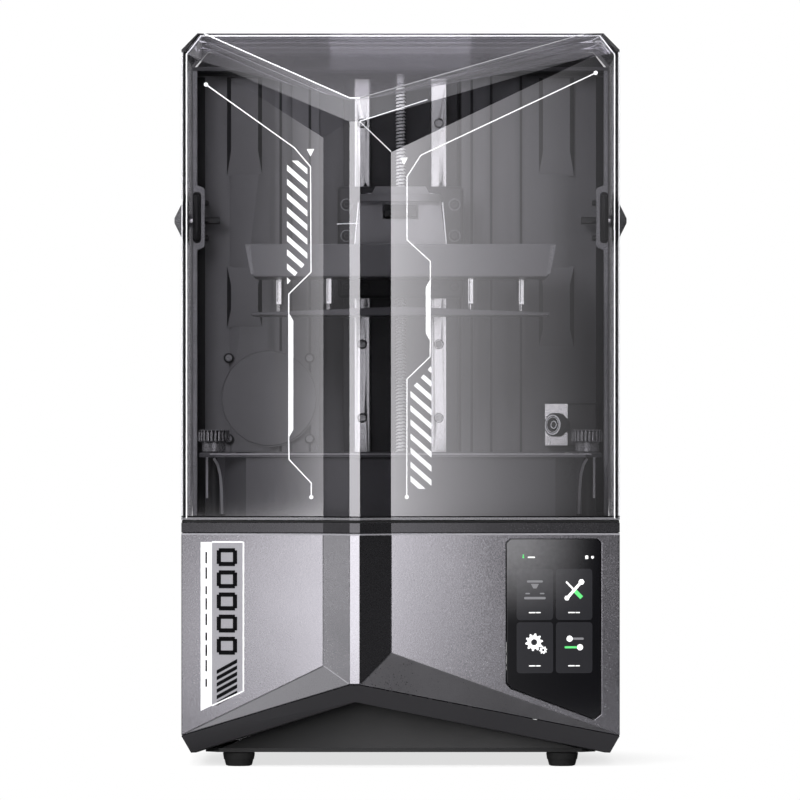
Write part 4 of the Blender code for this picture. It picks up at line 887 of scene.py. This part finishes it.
def leadscrew():
    """The screw with its rolled thread, plain tip and clamped coupling."""
    low, high = box_mm("leadscrew")
    foot = base_of(low, high)
    pitch, crest, root, sides = 2.6, 4.0, 3.15, 20
    start, stop = low.z + 29, high.z - 7
    rows = int((stop - start) / (pitch / 6))
    rings = []
    for row in range(rows + 1):
        z = start + (stop - start) * row / rows
        ring = []
        for i in range(sides):
            phase = (z / pitch - i / sides) % 1.0
            radius = root + (crest - root) * min(1.0, max(0.0, 1.6 - abs(phase - 0.5) * 5.2))
            ring.append((foot.x + radius * cos(tau * i / sides), foot.y + radius * sin(tau * i / sides), z))
        rings.append(ring)
    shape = Shape().skin(rings).turned([(0, 2.9), (6.4, 2.9), (7, 2.3)], (foot.x, foot.y, stop), Z_AXIS, 24)
    thread = shape.save("leadscrew_thread", "thread", "screw", smooth=60, replaces="leadscrew")
    # painted shade on the thread's down-facing flanks
    repaint(thread, lambda normal, _: FIN["ink"] if -0.95 < normal.z < -0.2 else None)
    coupling = [(5, 8.9), (5.6, 9.4), (12, 9.4), (12.4, 8.2), (13.2, 8.2), (13.6, 9.4), (20, 9.4),
                (20.4, 8.2), (21.2, 8.2), (21.6, 9.4), (27.4, 9.4), (28, 8.9)]
    Shape().turned(coupling, foot, Z_AXIS, 40).turned([(0, 2.4), (5, 2.4)], foot, Z_AXIS, 24).save(
        "screw_coupling", "aluminium", "screw")


# ---------------- carriage and platform

def carriage():
    refined("carriage_plate", "dark_metal", 1.2, 3)
    refined("cantilever_arm", "aluminium", 1.4, 3)
    refined("release_lever", "black", 0.7)
    refined("screw_nut", "brass")
    front = box_mm("carriage_plate")[0].y
    bolts, rims, edges = Shape(), Shape(), Shape()
    arm_front = box_mm("cantilever_arm")[0].y
    for side, sign in SIDES:
        refined(f"rail_block_{side}", "steel", 0.7)
        spots = [(sign * x, front + 0.3, z) for x, z in (
            (41.5, 424), (41.5, 400), (41.5, 376), (41.5, 361), (27, 376), (27, 361))]
        bolts.screws(spots, FORWARD, 3.4, 2.6)
        for z in (424, 400):
            rims.ring(3.9, 4.7, 0.8, (sign * 41.5, front, z), FORWARD)
        edges.bead((sign * 31.8, arm_front, 423), (sign * 34.6, arm_front, 391), 0.45)
    bolts.save("carriage_bolts", "dark_metal", "carriage")
    rims.save("carriage_bolt_rims", "cap", "carriage")
    edges.save("arm_edges", "print", "carriage")
    # a light line across the carriage's front: painted highlight
    Shape().bead((-49, front - 0.6, 409), (-13, front - 0.6, 410.5), 0.4).save(
        "carriage_highlight_line", "edge", "carriage")
    spots = [(x, y, 428.2) for x, y in ((-24, -22), (24, -22), (-24, 12), (24, 12))]
    Shape().screws(spots, Z_AXIS, 3.2, 3).save("arm_bolts", "chrome", "carriage")
    steps, reach, bulge, z = 16, 30.5, 4, 423.6
    spread = [2 * k / steps - 1 for k in range(steps + 1)]
    cap = [(reach * t, arm_front - bulge * (1 - t ** 2), z) for t in spread]
    cap += [(reach, arm_front + 1, z), (-reach, arm_front + 1, z)]
    Shape().prism(cap, (0, 0, 5.8)).save("arm_cap", "aluminium", "carriage", 1.2, 3)


def platform():
    """The tray, the build plate, and four six-sided posts with a round foot and a painted dark reflection
    down the front.
    """
    refined("platform_tray", "tray", 1.4, 3)
    refined("build_plate", "tank")
    radius, shank = 4.0, 6.2
    for name in (f"platform_post_{i}" for i in range(1, 5)):
        low, high = box_mm(name)
        foot = base_of(low, high)
        hexagon = [(x, y, low.z + shank) for x, y in disc(foot.x, foot.y, radius, 6)]
        post = Shape().turned([(0, 1.7), (0.5, 2.2), (7, 2.2)], foot, Z_AXIS, 36)
        post.prism(hexagon, (0, 0, high.z - low.z - shank))
        post.save(f"{name}_rod", "chrome", "platform", 0.3, replaces=name)
        # a thin dark strip down each post's front: painted dark reflection on the chrome
        x, y = foot.x, foot.y - radius * cos(pi / 6)
        Shape().box((x - 1.1, y - 0.1, low.z + shank + 2), (x - 0.6, y + 0.1, high.z - 0.6)).save(
            f"{name}_dark_reflection", "ink", "platform")
    low, high = box_mm("platform_tray")
    spots = [(x, y, low.z + 3.6) for x in (-98, -52, 52, 98) for y in (low.y + 8, high.y - 8)]
    Shape().screws(spots, Z_AXIS, 3.0, 3.4).save("tray_bolts", "chrome", "platform")
    # lighter strips at the ends of the tray's front: painted light on its sloped end lips
    lip, lips = [(112.8, 390.4), (116.8, 390.4), (112.4, 368.4), (110, 368.4)], Shape()
    for _, sign in SIDES:
        lips.prism([(sign * x, low.y + 0.1, z) for x, z in lip], (0, -0.5, 0))
    lips.save("tray_lip_highlights", "cap", "platform")


# ---------------- tank

def fluted(angle, index):
    """Shallow flutes round the grip's tall rings, and a plain smaller radius on the others."""
    return 1.0 - (0.045 * (0.5 + 0.5 * cos(24 * angle)) ** 2 if 0 < index < 4 else 0.03)


def tank():
    """The vat, its cradle, its film, and the two hold-down knobs with painted shade in their flutes."""
    refined("resin_tank", "tank", 1.6, 3)
    refined("tilt_frame", "black")
    refinish("release_film", "film")
    stem = [(0, 2.3), (0.6, 2.8), (20.2, 2.8)]
    collar = [(20, 8.4), (20.6, 9), (27.4, 9), (27.8, 8.4)]
    grip = [(27.6, 11), (28.4, 12), (35.2, 12), (36.4, 11.6), (37, 10.4), (37, 6), (36.2, 5.4)]
    for side, _ in SIDES:
        name = f"tank_knob_{side}"
        foot = base_of(*box_mm(name))

        # painted shade on the upright faces inside the flutes
        def flute(normal, centre):
            upright = abs(normal.z) < 0.3 and centre.z > foot.z + 28
            return FIN["ink"] if upright and (centre - foot).xy.length < 11.7 else None

        knob = Shape().turned(stem, foot, Z_AXIS, 24).turned(collar, foot, Z_AXIS, 40)
        knob.turned(grip, foot, Z_AXIS, 144, fluted)
        repaint(knob.save(f"{name}_grip", "knob", f"knob_{side}", replaces=name), flute)


def tank_webs():
    """Curved gussets under the tank's ears with painted highlights along their edges, and a painted highlight
    along the tank's rim.
    """
    under, foot, y = 230.6, 187.5, -43.6
    web = [(120, under), (122.6, 226), (127.4, 220.5), (130.8, 213.5), (132.6, 205), (133, foot),
           (137.2, foot), (137.2, 214), (139.4, under)]
    bend = [(141.5, 229.6), (138.6, 225), (136.6, 217), (135.6, 206), (135, foot)]
    for side, sign in SIDES:
        Shape().prism([(sign * x, y, z) for x, z in web], (0, 2.2, 0)).save(
            f"tank_web_{side}", "tank", "tank", 0.3, 1)
        # bright beads along the web's bend and beside it: painted highlights
        edge = Shape()
        for (x0, z0), (x1, z1) in zip(bend, bend[1:]):
            edge.bead((sign * x0, y, z0), (sign * x1, y, z1), 1.0)
        edge.bead((sign * 146.6, y, under), (sign * 146.6, y, foot + 12), 0.8)
        edge.save(f"tank_web_highlight_{side}", "aluminium", "tank")
    front = box_mm("resin_tank")[0].y
    Shape().bead((-143, front, 233.3), (143, front, 233.3), 0.55).save("tank_rim_light", "aluminium", "tank")


# ---------------- camera

def camera_block():
    """The camera's housing, bright face plate and tilted lens, with painted highlight rings on the lens."""
    refined("camera_body", "black", 1.2, 3)
    low, high = box_mm("camera_body")
    Shape().box((low.x + 0.4, low.y - 1, low.z + 0.6), (low.x + 18.4, low.y + 0.4, high.z - 0.4)).save(
        "camera_face", "steel", bevel=0.4)
    lens_low, lens_high = box_mm("camera_lens")
    look = Vector((-0.66, -0.75, 0.03)).normalized()
    back = (lens_low + lens_high) / 2 - look * 4
    barrel = [(-5, 6.4), (0, 6.4), (0.1, 8.6), (0.6, 9), (3, 9), (3.3, 8.5), (3.9, 8.5), (4.2, 9), (6.9, 9),
              (7.9, 8.3), (7.9, 6), (5, 4.8)]
    Shape().turned(barrel, back, look, 48).save("lens_barrel", "shade", replaces="camera_lens")
    # white rings on the lens: painted highlights
    rings = Shape()
    for inner, outer, along in ((6.7, 7.8, 7.8), (5.6, 6.1, 7.8), (2.4, 3.0, 6.6)):
        rings.ring(inner, outer, 0.3, back, look, 48, along)
    rings.save("lens_highlight_rings", "edge")
    Shape().turned([(5, 4.7), (5.6, 4.4), (6.4, 3.2), (6.8, 1.2)], back, look, 40).save(
        "lens_glass", "glass", smooth=80)


# ---------------- back

def rear_details():
    """Fan grille, a plain rating plate and cover screws."""
    back = BASE_HIGH.y
    low, high = box_mm("base_fan_frame")
    centre = Vector(((low.x + high.x) / 2, back - 2.4, (low.z + high.z) / 2))
    grille, reach, half = Shape(), 32, 1.1
    for radius in (7.5, 15.5, 23.5, 31.5):
        grille.ring(radius - 0.8, radius + 0.8, 1.6, centre, Y_AXIS, 64)
    grille.box(centre + Vector((-reach, 0.2, -half)), centre + Vector((reach, 1.4, half)))
    grille.box(centre + Vector((-half, 0.1, -reach)), centre + Vector((half, 1.3, reach)))
    grille.save("fan_grille", "dark_metal")
    spots = [centre + Vector((sx * 32, 2.3, sz * 32)) for sx, sz in CORNERS]
    spots += [(sign * 150, TOWER_HIGH.y - 0.1, z) for _, sign in SIDES for z in (200, 320, 440)]
    Shape().screws(spots, Y_AXIS, 2.8, 1.4).save("rear_screws", "black")
    plate = rounded_rectangle(-36, 34, 30, 78, 2)
    Shape().prism([(x, back - 0.1, z) for x, z in plate], (0, 0.4, 0)).save("rating_plate", "label")
    bars = Shape()
    for row in range(6):
        x, z = 26, 41 + row * 5.6
        for k in range(3):
            length = 9 + (row * 5 + k * 7) % 11
            bar = rounded_rectangle(x - length, z, x, z + 2, 0.6)
            bars.prism([(a, back + 0.25, b) for a, b in bar], (0, 0.12, 0))
            x -= length + 2
    bars.save("rating_bars", "ink")


# ---------------- plain finishes on the rest

def plain_nodes():
    """CAD nodes whose shape is right: only their finish changes, or their edges are rounded as well."""
    for key, names in (
            ("aluminium", "light_heatsink"), ("board", "lamp_board main_board"), ("film", "field_lens"),
            ("brushed", "power_supply"), ("dark_metal", "z_motor tilt_motor"), ("steel", "tilt_lifter"),
            ("black", "light_shroud base_fan_frame base_fan_rotor chamber_fan_frame chamber_fan_rotor")):
        for name in names.split():
            refinish(name, key)
    for name, key, width in (
            ("base_skirt", "skirt", 0.9), ("bottom_pan", "black", 0.6), ("touch_screen", "screen", 0.4),
            ("exposure_screen", "glass", 0.3), ("usb_port", "steel", 0.3), ("power_inlet", "black", 0.5),
            ("switch_frame", "black", 0.4), ("power_rocker", "rubber", 0.4)):
        refined(name, key, width)


# ---------------- stage

def floor():
    """A pale floor: white and lightly shaded to the camera, grey to everything that reflects it."""
    bm = bmesh.new()
    bmesh.ops.create_circle(bm, cap_ends=True, radius=12, segments=64)
    obj = linked("floor", bm)
    s = new_shader("floor_white")
    place = s.coords()
    away = s.node("VectorMath", {0: place}, operation="LENGTH")["Value"]
    grain = s.remap(s.noise(place, 60), 0.3, 0.7, 0.985, 1.0)
    near = s.node("BsdfDiffuse", {"Color": s.colours(grain, (0.9,) * 3, (1.0,) * 3)})[0]
    far = s.node("Emission", {"Color": (1, 1, 1), "Strength": 1.0})[0]
    white = s.blend(s.remap(away, 0.13, 0.24, 0.72, 1.0, smooth=True), near, far)
    grey = s.node("BsdfDiffuse", {"Color": (0.155, 0.155, 0.16)})[0]
    obj.data.materials.append(s.end(s.blend(s.ray_is("Camera"), grey, white)))


def front_card():
    """The big soft lamp ahead of the machine, bright in the middle and fading out to both sides."""
    y, reach, low, high = -1.143, 1.1, 0.002, 1.15
    bm = bmesh.new()
    corners = ((-reach, y, low), (reach, y, low), (reach, y, high), (-reach, y, high))
    bm.faces.new([bm.verts.new(point) for point in corners])
    obj = linked("front_card", bm)
    obj.visible_camera = obj.visible_shadow = obj.visible_transmission = False
    s = new_shader("front_card")
    x, _, z = s.node("SeparateXYZ", {0: s.node("TexCoord")["Object"]})
    upper = s.remap(z, 0.13, 0.19, smooth=True)

    def beyond(distance, edges, falls):
        """How far past the plateau, in falls of 1/e; its edge and fall differ for the base and the lid."""
        past_edge = s.maths("SUBTRACT", distance, s.remap(upper, 0, 1, *edges))
        return s.maths("DIVIDE", past_edge, s.remap(upper, 0, 1, *falls))

    left = s.maths("MAXIMUM", beyond(s.times(x, -1.0), (0.325, 0.27), (0.15, 0.068)), 0.0)
    left = s.maths("POWER", left, s.remap(upper, 0, 1, 1.0, 2.0))
    past = s.maths("MAXIMUM", left, beyond(x, (0.128, 0.12), (0.050, 0.08)))
    fall = s.times(s.maths("EXPONENT", s.times(past, -1.0)), s.remap(x, 0.28, 0.36, 1, 0.55, smooth=True))
    lit = s.node("Emission", {"Color": (1, 0.99, 1), "Strength": s.times(fall, 2.2)})[0]
    obj.data.materials.append(s.end(lit))


def studio_world():
    """White to the camera; a dim studio to the rest, lighter to the left and overhead, dark to the right."""
    world = bpy.data.worlds.new("studio")
    bpy.context.scene.world = world
    s = Shader(world)
    x, y, z = s.node("SeparateXYZ", {0: s.node("TexCoord")["Generated"]})
    azimuth = s.maths("ARCTAN2", x, s.times(y, -1.0))
    left = s.times(s.remap(azimuth, radians(-130), radians(-85), smooth=True),
                   s.remap(azimuth, radians(-50), radians(-25), 1, 0, smooth=True))
    top = s.remap(z, 0.45, 0.9, smooth=True)
    total = s.plus(s.plus(s.times(left, 0.68), s.times(top, 0.35)), 0.05)
    studio, white = (s.node("Background", {"Color": (1, 1, 1), "Strength": level})[0]
                     for level in (total, 1.0))
    s.end(s.blend(s.ray_is("Camera"), studio, white), "World")


def area_light(name, place, target, size, power):
    """A soft lamp that lights matt surfaces only, so that it leaves no hot spot on the gloss."""
    light = bpy.data.lights.new(name, "AREA")
    light.shape = "RECTANGLE"
    light.size, light.size_y = size
    light.energy = power
    obj = bpy.data.objects.new(name, light)
    obj.location = place
    obj.rotation_mode = "QUATERNION"
    obj.rotation_quaternion = (Vector(target) - Vector(place)).to_track_quat("-Z", "Y")
    obj.visible_camera = False
    obj.visible_glossy = False
    bpy.context.scene.collection.objects.link(obj)


def camera():
    """A level camera far ahead of the machine, which fills most of the height of the frame."""
    data = bpy.data.cameras.new("camera")
    obj = bpy.data.objects.new("camera", data)
    bpy.context.scene.collection.objects.link(obj)
    distance, top = 6.0, LID_HIGH.z * MM
    view_height, eye_height = top * 1.0852, top * 0.4992
    data.sensor_width = 36.0
    data.lens = data.sensor_width * (distance + FOLD_Y * MM) / view_height
    data.clip_end = 100
    obj.location = (-0.4 * MM, -distance, eye_height)
    obj.rotation_euler = (pi / 2, 0, 0)
    bpy.context.scene.camera = obj
    bpy.context.scene.view_settings.view_transform = "Standard"


base_cover()
feet()
plain_nodes()
label()
display()
lid_cover()
lid_edges()
lid_linings()
lid_print()
tower()
wall_panels()
filter_cover()
hinge_details()
leadscrew()
carriage()
platform()
tank()
tank_webs()
camera_block()
rear_details()
floor()
front_card()
studio_world()
area_light("key", (-1.1, -2.2, 1.6), (0, 0, 0.25), (1.2, 1.2), 95)
area_light("fill", (1.5, -2.2, 1.0), (0, 0, 0.25), (1.0, 1.2), 14)
area_light("overhead", (0, 0.0, 2.6), (0, 0, 0.3), (2.2, 2.2), 45)
camera()
